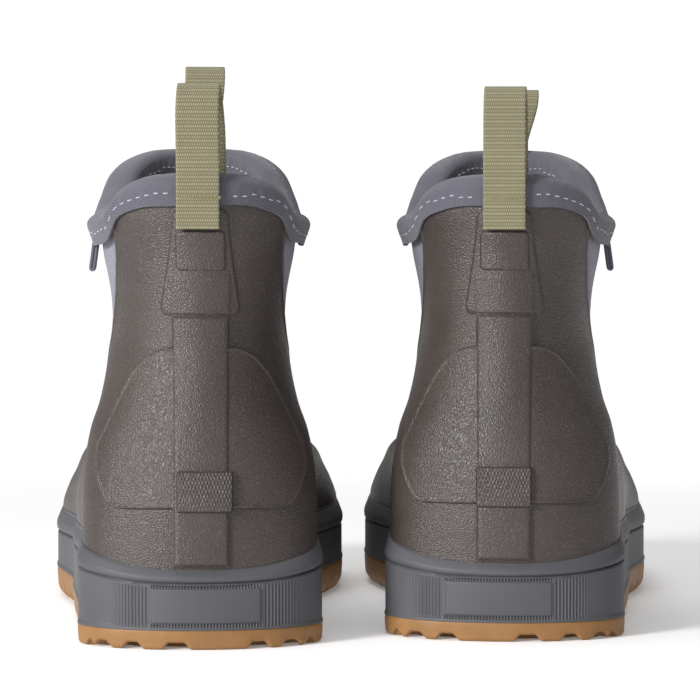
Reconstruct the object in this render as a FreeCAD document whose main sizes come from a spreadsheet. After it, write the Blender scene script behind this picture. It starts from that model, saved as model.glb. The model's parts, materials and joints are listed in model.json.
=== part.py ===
import FreeCAD, Part
import math
import os

import Sketcher

# A pair of rubber ankle deck boots, in millimetres.
#
# Each boot is built in its own frame: the rearmost point of its sole is at y = 0 on the ground, its
# toe points along +Y and +Z is up.  The way across the boot is called "across" here, positive towards
# the other foot (medial) and negative outwards (lateral), so that both boots share one description.
# The finished boots are then turned out a little, set side by side and centred on the origin.

VECTOR = FreeCAD.Vector
UP = VECTOR(0, 0, 1)
ROUND_THE_BOOT = ((0.0, 1.0), (-1.0, 0.0))
# The level at which the way round the collar is measured.
COLLAR_LEVEL = 165.0
# Notches round the back of the heel: place across the boot, width.
HEEL_NOTCHES = ((-41.5, 4), (-36, 5), (-25, 6), (-9, 8.5), (21, 7), (33, 6), (41, 4))

# alias, value in millimetres (or degrees), what it is
SIZES = (
    ("sole_length", 308.0, "outsole, heel to toe"),
    ("heel_width", 90.0, "sidewall across the heel"),
    ("waist_width", 85.0, "sidewall across the waist of the sole"),
    ("waist_flare", 7.0, "how much further the waist reaches on the outer side"),
    ("ball_width", 120.0, "sidewall across the ball of the foot"),
    ("ankle_width", 66.4, "upper across its narrowest level"),
    ("collar_width", 85.0, "upper across the collar"),
    ("collar_rear", 172.6, "top of the collar at the back"),
    ("collar_side", 157.5, "top of the collar at its side dips"),
    ("collar_front", 184.0, "top of the collar at the front"),
    ("tread_plate", 7.0, "gum outsole plate"),
    ("tread_depth", 2.5, "grooves cut into the outsole"),
    ("gum_heel", 7.1, "top of the gum rim at the heel"),
    ("gum_toe", 13.6, "top of the gum rim at the toe"),
    ("wall_rear", 29.1, "top of the sidewall at the back"),
    ("wall_side", 39.0, "top of the sidewall beside the heel"),
    ("wall_toe", 42.0, "top of the sidewall at the toe"),
    ("floor_board", 15.0, "underside of the insole board"),
    ("board_thick", 1.8, "insole board"),
    ("footbed_thick", 4.6, "loose footbed"),
    ("rubber", 2.0, "rubber of the upper"),
    ("stiffener", 1.5, "layer of the heel counter, toe puff and gusset cloth"),
    ("lining_thick", 3.0, "neoprene lining"),
    ("padding_thick", 3.0, "foam round the collar"),
    ("clearance", 0.35, "gap left between layers"),
    ("binding_height", 11.0, "collar binding, outside"),
    ("binding_thick", 1.1, "collar binding cloth"),
    ("webbing_width", 15.6, "pull loop webbing"),
    ("webbing_thick", 1.7, "pull loop webbing"),
    ("loop_gap", 13.2, "between the two strands of a pull loop"),
    ("rear_loop_top", 205.0, "top of the rear pull loop"),
    ("front_loop_top", 217.0, "top of the front pull loop"),
    ("loop_start", 11.0, "free strands begin this far above the collar"),
    ("band_width", 20.6, "raised band up the back"),
    ("plate_width", 39.6, "plain plate on the heel of the sidewall"),
    ("plate_offset", 1.9, "the plate's middle, towards the other foot"),
    ("plate_height", 12.6, "plain plate on the heel of the sidewall"),
    ("shank_length", 112.0, "steel shank"),
    ("shank_width", 17.0, "steel shank"),
    ("shank_thick", 1.5, "steel shank"),
    ("tag_length", 8.0, "folded cloth tag, free part"),
    ("tag_width", 13.0, "folded cloth tag"),
    ("tag_thick", 2.6, "folded cloth tag"),
    ("toe_out", 3.6, "degrees that each boot turns outwards"),
    ("heel_spacing", 110.2, "between the heel centres"),
    ("stagger", 23.0, "the right boot stands this far ahead"),
)


def make_sheet(doc):
    """The driving dimensions, one row each: alias, value, meaning."""
    sheet = doc.addObject("Spreadsheet::Sheet", "Sizes")
    for row, (alias, value, meaning) in enumerate(SIZES, start=1):
        sheet.set(f"A{row}", alias)
        sheet.set(f"B{row}", str(value))
        sheet.set(f"C{row}", meaning)
        sheet.setAlias(f"B{row}", alias)
    doc.recompute()
    return sheet


# ---------------------------------------------------------------- curves and surfaces


class Curve:
    """A smooth value through a few (place, value) points that never overshoots between them."""

    def __init__(self, *points):
        self.at = [p[0] for p in points]
        self.value = [p[1] for p in points]
        steps = [
            (self.value[i + 1] - self.value[i]) / (self.at[i + 1] - self.at[i])
            for i in range(len(points) - 1)
        ]
        self.slope = [steps[0]]
        for before, after in zip(steps, steps[1:]):
            rising = before * after > 0
            self.slope.append(2 * before * after / (before + after) if rising else 0.0)
        self.slope.append(steps[-1])

    def __call__(self, place):
        place = min(max(place, self.at[0]), self.at[-1])
        i = 0
        while i < len(self.at) - 2 and place > self.at[i + 1]:
            i += 1
        span = self.at[i + 1] - self.at[i]
        part = (place - self.at[i]) / span
        rest = 1 - part
        return (
            self.value[i] * (1 + 2 * part) * rest**2
            + self.slope[i] * span * part * rest**2
            + self.value[i + 1] * (1 + 2 * rest) * part**2
            - self.slope[i + 1] * span * rest * part**2
        )


def ease(low, high, part):
    """From low to high as part goes from 0 to 1, level at both ends."""
    part = min(max(part, 0.0), 1.0)
    return low + (high - low) * part**2 * (3 - 2 * part)


def rounding(distance, length):
    """1 beyond length, falling to 0 at distance 0 along a quarter of an ellipse."""
    part = min(max(distance / length, 0.0), 1.0)
    return math.sqrt(1 - (1 - part) ** 2)


class Form:
    """The outside of one boot: where its upper and its sole edge run."""

    def __init__(self, sheet):
        self.sheet = sheet
        long = self.size("sole_length")
        heel = self.size("heel_width") / 2
        waist = self.size("waist_width") / 2
        ball = self.size("ball_width") / 2
        ankle = self.size("ankle_width") / 2
        collar = self.size("collar_width") / 2
        self.long = long
        self.heel_at = 50.0
        self.waist_at = 0.385 * long
        self.ball_at = {1: 0.68 * long, -1: 0.61 * long}
        self.rear = Curve((0, 4), (30, 1.5), (50, 1), (80, 4), (113, 9), (140, 8), (165, 4.5), (200, 1))
        self.front = Curve(
            (0, long - 12), (12, long - 6), (25, long - 3), (34, long - 3), (42, long - 6),
            (50, long - 13), (56, long - 25), (61, long - 42), (66, long - 62), (73, long - 86),
            (82, long - 112), (92, long - 137), (103, long - 158), (115, long - 172),
            (130, long - 181), (150, long - 187), (170, long - 189), (200, long - 187),
        )
        self.heel_half = Curve(
            (0, heel - 9), (15, heel - 4), (30, heel - 1.5), (52, heel - 1.5), (64, heel - 2.2),
            (77, heel - 4.4), (88, heel - 8), (100, ankle + 1.4), (113, ankle), (125, ankle + 0.5),
            (140, ankle + 3), (150, collar - 3.4), (158, collar - 0.9), (175, collar), (200, collar + 1),
        )
        self.waist_half = Curve(
            (0, waist - 10), (15, waist - 4), (30, waist - 1.5), (50, waist - 1), (65, waist - 2.5),
            (80, waist - 5), (95, ankle + 2), (113, ankle), (130, ankle + 0.5), (150, ankle + 3),
            (175, collar - 3), (200, collar - 1.5),
        )
        self.ball_half = Curve(
            (0, ball - 12), (15, ball - 5), (30, ball - 2), (38, ball - 2.2), (47, ball - 5),
            (53, ball - 8), (59, ball - 10.5), (66, ball - 15), (76, ball - 20), (90, ankle + 4),
            (113, ankle), (200, ankle + 5),
        )
        self.rear_round = Curve((0, 26), (30, 28.5), (60, 34), (90, 41), (113, 44), (200, 46))
        self.front_round = Curve((0, 68), (45, 74), (80, 72), (100, 62), (120, 56), (200, 54))
        rear_top = self.size("collar_rear")
        dip = self.size("collar_side")
        front_top = self.size("collar_front")
        self.collar = Curve(
            (0, rear_top), (9, rear_top - 1.2), (15, rear_top - 3.2), (21, rear_top - 6.2),
            (27, dip + 5), (34, dip + 1.9), (45, dip + 0.4), (57, dip), (75, dip + 2.5),
            (88, dip + 10.5), (97, front_top - 8.5), (105, front_top - 3.5), (113, front_top - 0.5),
            (120, front_top), (130, front_top),
        )
        wall_rear = self.size("wall_rear")
        wall_side = self.size("wall_side")
        self.wall_top = Curve(
            (0, wall_rear), (3, wall_rear + 0.8), (10, wall_rear + 3.3), (17, wall_rear + 5.3),
            (28, wall_rear + 7.9), (45, wall_side), (120, wall_side - 1), (190, wall_side - 2),
            (260, wall_side), (long, self.size("wall_toe")),
        )
        gum_heel = self.size("gum_heel")
        gum_toe = self.size("gum_toe")
        self.gum_top = Curve((0, gum_heel), (45, gum_heel + 0.2), (95, gum_toe - 1.8), (long, gum_toe))

    def size(self, alias):
        return float(self.sheet.get(alias))

    def flare(self, side):
        """How far the waist stands out beyond the inner side's; side is 1 there and -1 outwards."""
        return self.size("waist_flare") if side < 0 else 0.0

    def half_width(self, along, up, side):
        """Half of the upper's width at one place along the boot and one height."""
        heel = self.heel_half(up)
        waist = self.waist_half(up) + ease(self.flare(side), 0.0, (up - 45) / 40)
        ball = self.ball_half(up)
        if along < self.waist_at:
            return ease(heel, waist, (along - self.heel_at) / (self.waist_at - self.heel_at))
        ball_at = self.ball_at[side]
        if along < ball_at:
            return ease(waist, ball, (along - self.waist_at) / (ball_at - self.waist_at))
        return ease(ball, 0.94 * ball, (along - ball_at) / (self.long - ball_at))

    def middle(self, along):
        """How far the middle line has moved towards the other foot."""
        return ease(0.0, 5.0, (along - 60) / (self.long - 60))

    def skin(self, way, up):
        """A point of the upper's outside.  way is 0 at the back, 1 at the front, negative laterally."""
        way = (way + 1) % 2 - 1 if abs(way) > 1 else way
        side = 1 if way >= 0 else -1
        rear = self.rear(up)
        front = self.front(up)
        along = rear + (front - rear) * (1 - math.cos(math.pi * way)) / 2
        half = self.half_width(along, up, side)
        half *= rounding(along - rear, self.rear_round(up)) * rounding(front - along, self.front_round(up))
        return VECTOR(self.middle(along) + side * half, along, up)

    def layer(self, way, up, depth):
        """The point under skin(way, up), depth inwards along the skin's normal."""
        step = 0.01
        around = self.skin(way + step, up) - self.skin(way - step, up)
        upward = self.skin(way, up + 0.5) - self.skin(way, up - 0.5)
        normal = around.cross(upward)
        normal.normalize()
        return self.skin(way, up) - normal * depth

    def way_at(self, along, up, side=1):
        """The way round at which the skin reaches a place along the boot."""
        rear = self.rear(up)
        front = self.front(up)
        part = min(max((along - rear) / (front - rear), 0.0), 1.0)
        return side * math.acos(1 - 2 * part) / math.pi

    def way_across(self, across, up, centre=0.0):
        """How far round from the back (centre 0) or the front (centre 1) the skin is this far across."""
        near, far = 0.0, 0.45
        for _ in range(24):
            middle = (near + far) / 2
            reach = abs(self.skin(centre + middle, up).x - self.skin(centre, up).x)
            if reach < across:
                near = middle
            else:
                far = middle
        return near

    def sole(self, way, up, inset):
        """A point of the sole's upright edge, or inset from it."""
        side = 1 if way >= 0 else -1
        rear = inset
        front = self.long - inset
        along = rear + (front - rear) * (1 - math.cos(math.pi * way)) / 2
        heel = self.size("heel_width") / 2
        waist = self.size("waist_width") / 2 + self.flare(side)
        ball = self.size("ball_width") / 2
        ball_at = self.ball_at[side]
        if along < self.waist_at:
            half = ease(heel, waist, (along - self.heel_at) / (self.waist_at - self.heel_at))
        elif along < ball_at:
            half = ease(waist, ball, (along - self.waist_at) / (ball_at - self.waist_at))
        else:
            half = ease(ball, 0.94 * ball, (along - ball_at) / (self.long - ball_at))
        half -= inset
        half *= rounding(along - rear, 27 - inset) * rounding(front - along, 74 - inset)
        return VECTOR(self.middle(along) + side * half, along, up)

    def levels(self, low, high, count):
        """Shares of the height from low to high, spaced along the front profile, closer below the welt."""
        fine = [low + (high - low) * i / 400 for i in range(401)]
        run = [0.0]
        for below, above in zip(fine, fine[1:]):
            closer = 3.0 if above < 46 else 1.0
            run.append(run[-1] + closer * math.hypot(above - below, self.front(above) - self.front(below)))
        found = []
        i = 0
        for k in range(count):
            goal = run[-1] * k / (count - 1)
            while i < 399 and run[i + 1] < goal:
                i += 1
            part = (goal - run[i]) / (run[i + 1] - run[i])
            found.append((fine[i] + (fine[i + 1] - fine[i]) * part - low) / (high - low))
        return found


# ---------------------------------------------------------------- solids from surfaces


def mirrored(point, hand):
    """From (across, along, up) to the boot's own x, y, z; hand is 1 on the left boot, -1 on the right."""
    return VECTOR(point.x * hand, point.y, point.z)


def sewn_solid(faces):
    """One closed solid from the faces that bound it."""
    shell = Part.makeCompound(faces)
    shell.sewShape(0.001)
    solid = Part.Solid(shell.Shells[0])
    if solid.Volume < 0:
        solid.reverse()
    return solid


def surface_through(grid):
    surface = Part.BSplineSurface()
    surface.interpolate(grid)
    return surface


def edges_of(surface):
    """The four border edges: first and last column, first and last row."""
    first, last, low, high = surface.bounds()
    isos = (surface.uIso(first), surface.uIso(last), surface.vIso(low), surface.vIso(high))
    return [iso.toShape() for iso in isos]


def slab(outer, inner):
    """A curved plate between two grids of points of the same size."""
    outside = surface_through(outer)
    inside = surface_through(inner)
    faces = [outside.toShape(), inside.toShape()]
    for one, other in zip(edges_of(outside), edges_of(inside)):
        faces.append(Part.makeRuledSurface(one, other))
    return sewn_solid(faces)


def patch(form, hand, ways, heights, depths, columns=9, rows=7, spacing=None):
    """A plate that follows the upper.

    ways(up) gives the way round of its two upright edges, heights(way, up) its lower and upper edge
    at one column, and depths its outer and inner depth under the skin.
    """
    share = spacing or [k / (rows - 1) for k in range(rows)]
    grids = ([], [])
    for i in range(columns):
        part = i / (columns - 1)
        low, high = edge_heights(form, ways, heights, part)
        lines = ([], [])
        for k in range(rows):
            up = low + (high - low) * share[k]
            start, end = ways(up)
            way = start + (end - start) * part
            for line, depth in zip(lines, depths):
                line.append(mirrored(form.layer(way, up, depth), hand))
        grids[0].append(lines[0])
        grids[1].append(lines[1])
    return slab(*grids)


def edge_heights(form, ways, heights, part):
    """The lower and upper end of one column, found by a few rounds because each depends on the other."""
    ends = list(heights(0.0))
    for which in (0, 1):
        for _ in range(6):
            start, end = ways(ends[which])
            along = form.skin(start + (end - start) * part, ends[which]).y
            ends[which] = heights(along)[which]
    return ends


def closed_band(form, hand, heights, depths, columns=26, rows=7, spacing=None):
    """A layer that goes all the way round the boot, between two depths, joined at the back."""
    share = spacing or [k / (rows - 1) for k in range(rows)]
    grids = ([], [])
    for i in range(columns):
        way = 2 * (i % (columns - 1)) / (columns - 1)
        low, high = edge_heights(form, lambda up: (way, way), heights, 0.0)
        for grid, depth in zip(grids, depths):
            ups = [low + (high - low) * part for part in share]
            grid.append([mirrored(form.layer(way, up, depth), hand) for up in ups])
    outside, inside = (surface_through(grid) for grid in grids)
    faces = [outside.toShape(), inside.toShape()]
    for one, other in list(zip(edges_of(outside), edges_of(inside)))[2:]:
        faces.append(Part.makeRuledSurface(one, other))
    return sewn_solid(faces)


def railed(rails, hand, capped=False, columns=33):
    """A solid between rails, each a closed line round the boot given as rail(way) -> point.

    Neighbouring rails are joined by a ruled face.  Uncapped, the last rail is joined to the first, which
    makes a ring; capped, the first and the last rail are flat and each is filled with a plane.
    """
    halves = []
    for start, end in ROUND_THE_BOOT:
        ways = [start + (end - start) * i / (columns - 1) for i in range(columns)]
        lines = []
        for rail in rails:
            line = Part.BSplineCurve()
            line.interpolate([mirrored(rail(way), hand) for way in ways])
            lines.append(line.toShape())
        halves.append(lines)
    faces = []
    for lines in halves:
        pairs = list(zip(lines, lines[1:]))
        if not capped:
            pairs.append((lines[-1], lines[0]))
        faces += [Part.makeRuledSurface(one, other) for one, other in pairs]
    if capped:
        for which in (0, -1):
            faces.append(Part.Face(Part.Wire([halves[0][which], halves[1][which]])))
    return sewn_solid(faces)


def shaped(doc, label, shape):
    """A document object that holds a worked-out shape."""
    piece = doc.addObject("Part::Feature", label)
    piece.Label = label
    piece.Shape = shape
    return piece


# ---------------------------------------------------------------- sketches for the simple pieces


def origin_plane(body, role):
    for feature in body.Origin.OriginFeatures:
        if feature.Role == role:
            return feature
    raise ValueError(role)


def new_body(doc, label):
    body = doc.addObject("PartDesign::Body", label)
    body.Label = label
    return body


def new_sketch(body, name, role):
    sketch = body.newObject("Sketcher::SketchObject", name)
    sketch.AttachmentSupport = (origin_plane(body, role), [""])
    sketch.MapMode = "FlatFace"
    return sketch


def join_ends(sketch, count):
    """Ties the end of each of the sketch's first count edges to the start of the next."""
    for i in range(count):
        sketch.addConstraint(Sketcher.Constraint("Coincident", i, 2, (i + 1) % count, 1))


def bind(sketch, name, constraint, formula):
    number = sketch.addConstraint(constraint)
    sketch.renameConstraint(number, name)
    sketch.setExpression(f"Constraints.{name}", formula)


def rectangle(body, name, role, wide, tall, left, low):
    """A rectangle whose width, height and lower left corner are formulas of the sheet."""
    sketch = new_sketch(body, name, role)
    corners = [VECTOR(1, 1, 0), VECTOR(9, 1, 0), VECTOR(9, 5, 0), VECTOR(1, 5, 0)]
    for i in range(4):
        sketch.addGeometry(Part.LineSegment(corners[i], corners[(i + 1) % 4]), False)
    join_ends(sketch, 4)
    for line in (0, 2):
        sketch.addConstraint(Sketcher.Constraint("Horizontal", line))
    for line in (1, 3):
        sketch.addConstraint(Sketcher.Constraint("Vertical", line))
    bind(sketch, "wide", Sketcher.Constraint("DistanceX", 0, 1, 0, 2, 8), wide)
    bind(sketch, "tall", Sketcher.Constraint("DistanceY", 1, 1, 1, 2, 4), tall)
    bind(sketch, "left", Sketcher.Constraint("DistanceX", -1, 1, 0, 1, 1), left)
    bind(sketch, "low", Sketcher.Constraint("DistanceY", -1, 1, 0, 1, 1), low)
    return sketch


def arch(body, name, half, low, top):
    """An upright arch on the YZ plane: straight sides half apart from the middle, a round top."""
    sketch = new_sketch(body, name, "YZ_Plane")
    wide = body.evalExpression(half)
    foot = body.evalExpression(low)
    spring = body.evalExpression(top) - wide
    corners = [VECTOR(-wide, foot, 0), VECTOR(wide, foot, 0), VECTOR(wide, spring, 0)]
    sketch.addGeometry(Part.LineSegment(corners[0], corners[1]), False)
    sketch.addGeometry(Part.LineSegment(corners[1], corners[2]), False)
    circle = Part.Circle(VECTOR(0, spring, 0), UP, wide)
    sketch.addGeometry(Part.ArcOfCircle(circle, 0, math.pi), False)
    sketch.addGeometry(Part.LineSegment(VECTOR(-wide, spring, 0), corners[0]), False)
    join_ends(sketch, 4)
    sketch.addConstraint(Sketcher.Constraint("Horizontal", 0))
    sketch.addConstraint(Sketcher.Constraint("Vertical", 1))
    sketch.addConstraint(Sketcher.Constraint("Vertical", 3))
    sketch.addConstraint(Sketcher.Constraint("PointOnObject", 2, 3, -2))
    bind(sketch, "half", Sketcher.Constraint("Radius", 2, wide), half)
    bind(sketch, "low", Sketcher.Constraint("DistanceY", -1, 1, 0, 1, foot), low)
    bind(sketch, "spring", Sketcher.Constraint("DistanceY", -1, 1, 2, 3, spring), f"{top} - ({half})")
    return sketch


def pad(body, name, sketch, length, midplane=False):
    feature = body.newObject("PartDesign::Pad", name)
    feature.Profile = sketch
    feature.setExpression("Length", length)
    feature.Midplane = midplane
    return feature


# ---------------------------------------------------------------- the sole


def outsole(doc, form, hand, label):
    """Gum plate with a rounded lower edge and a rim that rises towards the toe, cut by its tread."""
    plate = form.size("tread_plate")
    edge = Curve((0, 1.6), (60, 2.2), (110, 6.5), (form.long, 8.0))
    rim = 6.0

    def lower(share_in, share_up):
        def rail(way):
            round_off = edge(form.sole(way, 0, 0).y)
            return form.sole(way, share_up * min(round_off, plate - 0.4), share_in * round_off)
        return rail

    def upper(inset):
        def rail(way):
            point = form.sole(way, 0, inset)
            point.z = form.gum_top(form.sole(way, 0, 0).y)
            return point
        return rail

    rails = [
        lower(1.0, 0.0),
        lower(0.3, 0.3),
        lower(0.0, 1.0),
        upper(0.0),
        upper(rim),
        lambda way: form.sole(way, plate, rim + 0.2),
    ]
    blank = railed(rails, hand, capped=True)
    return shaped(doc, label, blank.cut(tread_grooves(form, hand)))


def tread_grooves(form, hand):
    """Boxes to cut away: wavy rows of slots across the sole, and notches round the back of the heel."""
    depth = form.size("tread_depth")
    slots = []
    pitch = 13.0
    rows = int((form.long - 60) / pitch)
    for row in range(rows):
        along = 34 + row * pitch
        for part in (-1, 0, 1):
            slot = Part.makeBox(24.0, 3.2, depth, VECTOR(-12, -1.6, 0))
            slot.rotate(VECTOR(0, 0, 0), UP, 18.0 * (1 if (row + part) % 2 else -1))
            slot.translate(VECTOR(form.middle(along) * hand + part * 25.0, along, 0))
            slots.append(slot)
    for across, wide in HEEL_NOTCHES:
        slots.append(Part.makeBox(wide, 18.0, depth, VECTOR(across * hand - wide / 2, -2, 0)))
    return Part.makeCompound(slots)


def sidewall(doc, form, hand, label):
    """Grey rubber wall round the foot, with a groove under its top bead."""
    gap = form.size("clearance")
    drop = Curve((0, 5.0), (17, 7.2), (45, 9.3), (form.long, 10.0))

    def outside(height, inset):
        def rail(way):
            point = form.sole(way, 0, inset)
            point.z = height(form.sole(way, 0, 0).y)
            return point
        return rail

    def inside(height):
        return lambda way: form.layer(way, height(form.sole(way, 0, 0).y), -gap - 0.15)

    foot = form.size("floor_board") + 0.6

    rails = [
        outside(lambda y: form.gum_top(y) + 0.05, 0.0),
        outside(lambda y: form.wall_top(y) - drop(y) - 0.8, 0.0),
        outside(lambda y: form.wall_top(y) - drop(y), 0.9),
        outside(lambda y: form.wall_top(y) - drop(y) + 0.8, 0.0),
        outside(lambda y: form.wall_top(y) - 0.5, 0.1),
        inside(form.wall_top),
        inside(lambda y: foot + 0.75 * (form.wall_top(y) - foot)),
        inside(lambda y: foot + 0.5 * (form.wall_top(y) - foot)),
        inside(lambda y: foot + 0.25 * (form.wall_top(y) - foot)),
        inside(lambda y: foot),
        outside(lambda y: form.gum_top(y) + 0.05, 5.9),
    ]
    return shaped(doc, label, railed(rails, hand))


def heel_plate(doc, form, hand, label):
    """Plain raised plate on the back of the sidewall."""
    half = form.size("plate_width") / 2
    low = form.size("gum_heel") + 2.5
    grids = []
    for proud in (0.9, 0.03):
        grid = []
        for i in range(9):
            across = form.size("plate_offset") + half * (i / 4 - 1)
            reach = abs(across) / (form.size("heel_width") / 2)
            back = 27 * (1 - math.sqrt(1 - reach**2)) - proud
            ups = [low + form.size("plate_height") * k / 3 for k in range(4)]
            grid.append([VECTOR(across * hand, back, up) for up in ups])
        grids.append(grid)
    return shaped(doc, label, slab(*grids))


def flat_layer(form, hand, low, high, depth):
    """A flat plate that fills the inside of the upper down to a depth under its skin."""
    rails = [lambda way: flat(form.layer(way, low + 1, depth), low)]
    rails.append(lambda way: flat(form.layer(way, low + 1, depth), high))
    return railed(rails, hand, capped=True)


def flat(point, up):
    return VECTOR(point.x, point.y, up)


def midsole(doc, form, hand, label):
    """Foam core inside the rim of the outsole, with a pocket for the shank in its top."""
    low = form.size("tread_plate") + 0.1
    high = form.size("floor_board") - 0.1
    rails = [lambda way: form.sole(way, low, 6.6), lambda way: form.sole(way, high, 6.6)]
    blank = shaped(doc, f"{label}_blank", railed(rails, hand, capped=True))
    pocket = doc.addObject("Part::Box", f"{label}_pocket")
    pocket.setExpression("Length", "Sizes.shank_width + 2 * Sizes.clearance")
    pocket.setExpression("Width", "Sizes.shank_length + 2 * Sizes.clearance")
    pocket.setExpression("Height", "Sizes.shank_thick + 2 * Sizes.clearance")
    pocket.setExpression("Placement.Base.x", "-Sizes.shank_width / 2 - Sizes.clearance")
    pocket.setExpression("Placement.Base.y", "0.16 * Sizes.sole_length - Sizes.clearance")
    pocket.setExpression("Placement.Base.z", "Sizes.floor_board - 0.1 - Sizes.shank_thick - Sizes.clearance")
    cut = doc.addObject("Part::Cut", label)
    cut.Label = label
    cut.Base = blank
    cut.Tool = pocket
    return cut


def shank(doc, form, hand, label):
    """Steel strip that stiffens the waist of the sole, with rounded corners."""
    body = new_body(doc, label)
    sketch = rectangle(
        body, f"{label}_outline", "XY_Plane",
        "Sizes.shank_width", "Sizes.shank_length", "-Sizes.shank_width / 2", "0.16 * Sizes.sole_length",
    )
    sketch.setExpression("AttachmentOffset.Base.z", "Sizes.floor_board - 0.15 - Sizes.shank_thick")
    strip = pad(body, f"{label}_strip", sketch, "Sizes.shank_thick")
    doc.recompute()
    corners = []
    for number, edge in enumerate(strip.Shape.Edges, start=1):
        if abs(edge.tangentAt(edge.FirstParameter).z) > 0.99:
            corners.append(f"Edge{number}")
    rounded = body.newObject("PartDesign::Fillet", f"{label}_corners")
    rounded.Base = (strip, corners)
    rounded.setExpression("Radius", "Sizes.shank_width / 3")
    return body


def insole_board(doc, form, hand, label):
    low = form.size("floor_board")
    shape = flat_layer(form, hand, low, low + form.size("board_thick"), inner_depth(form) + 1.2)
    return shaped(doc, label, shape)


def footbed(doc, form, hand, label):
    low = form.size("floor_board") + form.size("board_thick") + form.size("clearance")
    shape = flat_layer(form, hand, low, low + form.size("footbed_thick"), inner_depth(form) + 3.2)
    return shaped(doc, label, shape)


# ---------------------------------------------------------------- the upper


def under_rubber(form):
    """Depths of the thin layer of stiffeners and gusset cloth."""
    outer = form.size("rubber") + form.size("clearance")
    return outer, outer + form.size("stiffener")


def lining_depths(form):
    outer = under_rubber(form)[1] + form.size("clearance")
    return outer, outer + form.size("lining_thick")


def inner_depth(form):
    return lining_depths(form)[1]


def padding_depths(form):
    outer = inner_depth(form) + form.size("clearance")
    return outer, outer + form.size("padding_thick")


def window_rear(form):
    """How far forward the rear quarter reaches at each height: straight down, round the window, foot."""
    return Curve(
        (0, 58), (60, 56), (80, 56), (92, 60), (99, 63.5), (104, 57), (110, 47),
        (118, 40), (126, 35.5), (135, 31), (150, 25), (165, 20.5), (200, 20),
    )


def window_front(form):
    """How far back the vamp reaches at each height."""
    return Curve(
        (0, 58.4), (60, 56.4), (80, 56.4), (92, 60.4), (99, 64), (104, 71), (112, 80), (125, 88),
        (140, 92), (200, 94),
    )


def upper_heights(form, drop=1.8):
    """From the lasting edge to just under the collar's top."""
    low = form.size("floor_board") + 0.2
    return lambda along: (low, form.collar(along) - drop)


def rear_quarter(doc, form, hand, label):
    edge = window_rear(form)

    def ways(up):
        way = form.way_at(edge(up), up)
        return -way, way

    depths = (0.0, form.size("rubber"))
    shape = patch(form, hand, ways, upper_heights(form), depths, columns=27, rows=36)
    return shaped(doc, label, shape)


def vamp(doc, form, hand, label):
    edge = window_front(form)

    def ways(up):
        way = form.way_at(edge(up), up)
        return way, 2 - way

    low = form.size("floor_board") + 0.2
    spacing = form.levels(low, form.size("collar_front"), 42)
    depths = (0.0, form.size("rubber"))
    shape = patch(form, hand, ways, upper_heights(form), depths, 41, 42, spacing)
    return shaped(doc, label, shape)


def gusset(doc, form, hand, label, side):
    """Stretch panel in the side window; its edges lie under the rubber."""
    rear = window_rear(form)
    front = window_front(form)
    tuck = 3.0

    def ways(up):
        start = form.way_at(rear(up) - tuck, up) * side
        end = form.way_at(front(up) + tuck, up) * side
        return start, end

    heights = lambda along: (98.0, form.collar(along) - 1.8)
    shape = patch(form, hand, ways, heights, under_rubber(form), columns=15, rows=18)
    return shaped(doc, label, shape)


def lateral_gusset(doc, form, hand, label):
    return gusset(doc, form, hand, label, -1)


def medial_gusset(doc, form, hand, label):
    return gusset(doc, form, hand, label, 1)


def lining(doc, form, hand, label):
    low = form.size("floor_board") + 0.2
    spacing = form.levels(low, form.size("collar_front"), 42)
    shape = closed_band(form, hand, upper_heights(form), lining_depths(form), 57, 42, spacing)
    return shaped(doc, label, shape)


def collar_padding(doc, form, hand, label):
    heights = lambda along: (form.collar(along) - 36, form.collar(along) - 3.0)
    return shaped(doc, label, closed_band(form, hand, heights, padding_depths(form), 57, 11))


def stiffener_depths(form):
    """The heel counter and toe puff are a little thinner than the layer they lie in."""
    outer, inner = under_rubber(form)
    return outer + 0.4, inner - 0.3


def heel_counter(doc, form, hand, label):
    """Stiff cup round the heel, lower at its front ends."""
    top = Curve((0, 74), (30, 70), (80, 52), (90, 50))
    low = form.size("floor_board") + 0.2

    def ways(up):
        way = form.way_at(86, up)
        return -way, way

    heights = lambda along: (low, top(along))
    return shaped(doc, label, patch(form, hand, ways, heights, stiffener_depths(form), 31, 14))


def toe_puff(doc, form, hand, label):
    """Stiff cap that holds the toe up."""
    low = form.size("floor_board") + 7.0

    def ways(up):
        way = form.way_at(form.long - 58, up)
        return way, 2 - way

    spacing = form.levels(low, 60.5, 18)
    shape = patch(form, hand, ways, lambda along: (low, 60.5), stiffener_depths(form), 25, 18, spacing)
    return shaped(doc, label, shape)


def toe_cap(doc, form, hand, label):
    """Rubber bumper over the toe, above the sidewall."""
    gap = form.size("clearance")

    def ways(up):
        way = form.way_at(form.long - 46, up)
        return way, 2 - way

    heights = lambda along: (form.wall_top(along) + 0.6, 58.0)
    shape = patch(form, hand, ways, heights, (-1.3 - gap, -gap), 25, 12)
    return shaped(doc, label, shape)


def overlay(doc, form, hand, label, half, heights, depths, columns=5, rows=7):
    """A raised patch up the middle of the back, half(up) wide each way."""
    def ways(up):
        way = form.way_across(half(up), up)
        return -way, way

    shape = patch(form, hand, ways, lambda along: heights, depths, columns, rows)
    return shaped(doc, label, shape)


def heel_panel(doc, form, hand, label):
    """Raised leaf round the heel: a level top seam, then both edges sweep down and forward."""
    gap = form.size("clearance")
    half = Curve(
        (50.7, 30), (51.8, 33.5), (54, 36), (60, 39), (66, 40.4), (71, 38.6), (77.5, 35.6), (85, 32.2),
        (93, 28.4), (100, 24.5), (106, 19), (109.3, 12.5),
    )
    return overlay(doc, form, hand, label, half, (50.7, 109.3), (-0.85 - gap, -0.05 - gap), 25, 25)


def back_band(doc, form, hand, label):
    gap = form.size("clearance")
    half = form.size("band_width") / 2
    heights = (form.size("wall_rear") + 2.5, 119.5)
    return overlay(doc, form, hand, label, lambda up: half, heights, (-1.9 - gap, -1.05 - gap), 9, 20)


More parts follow.
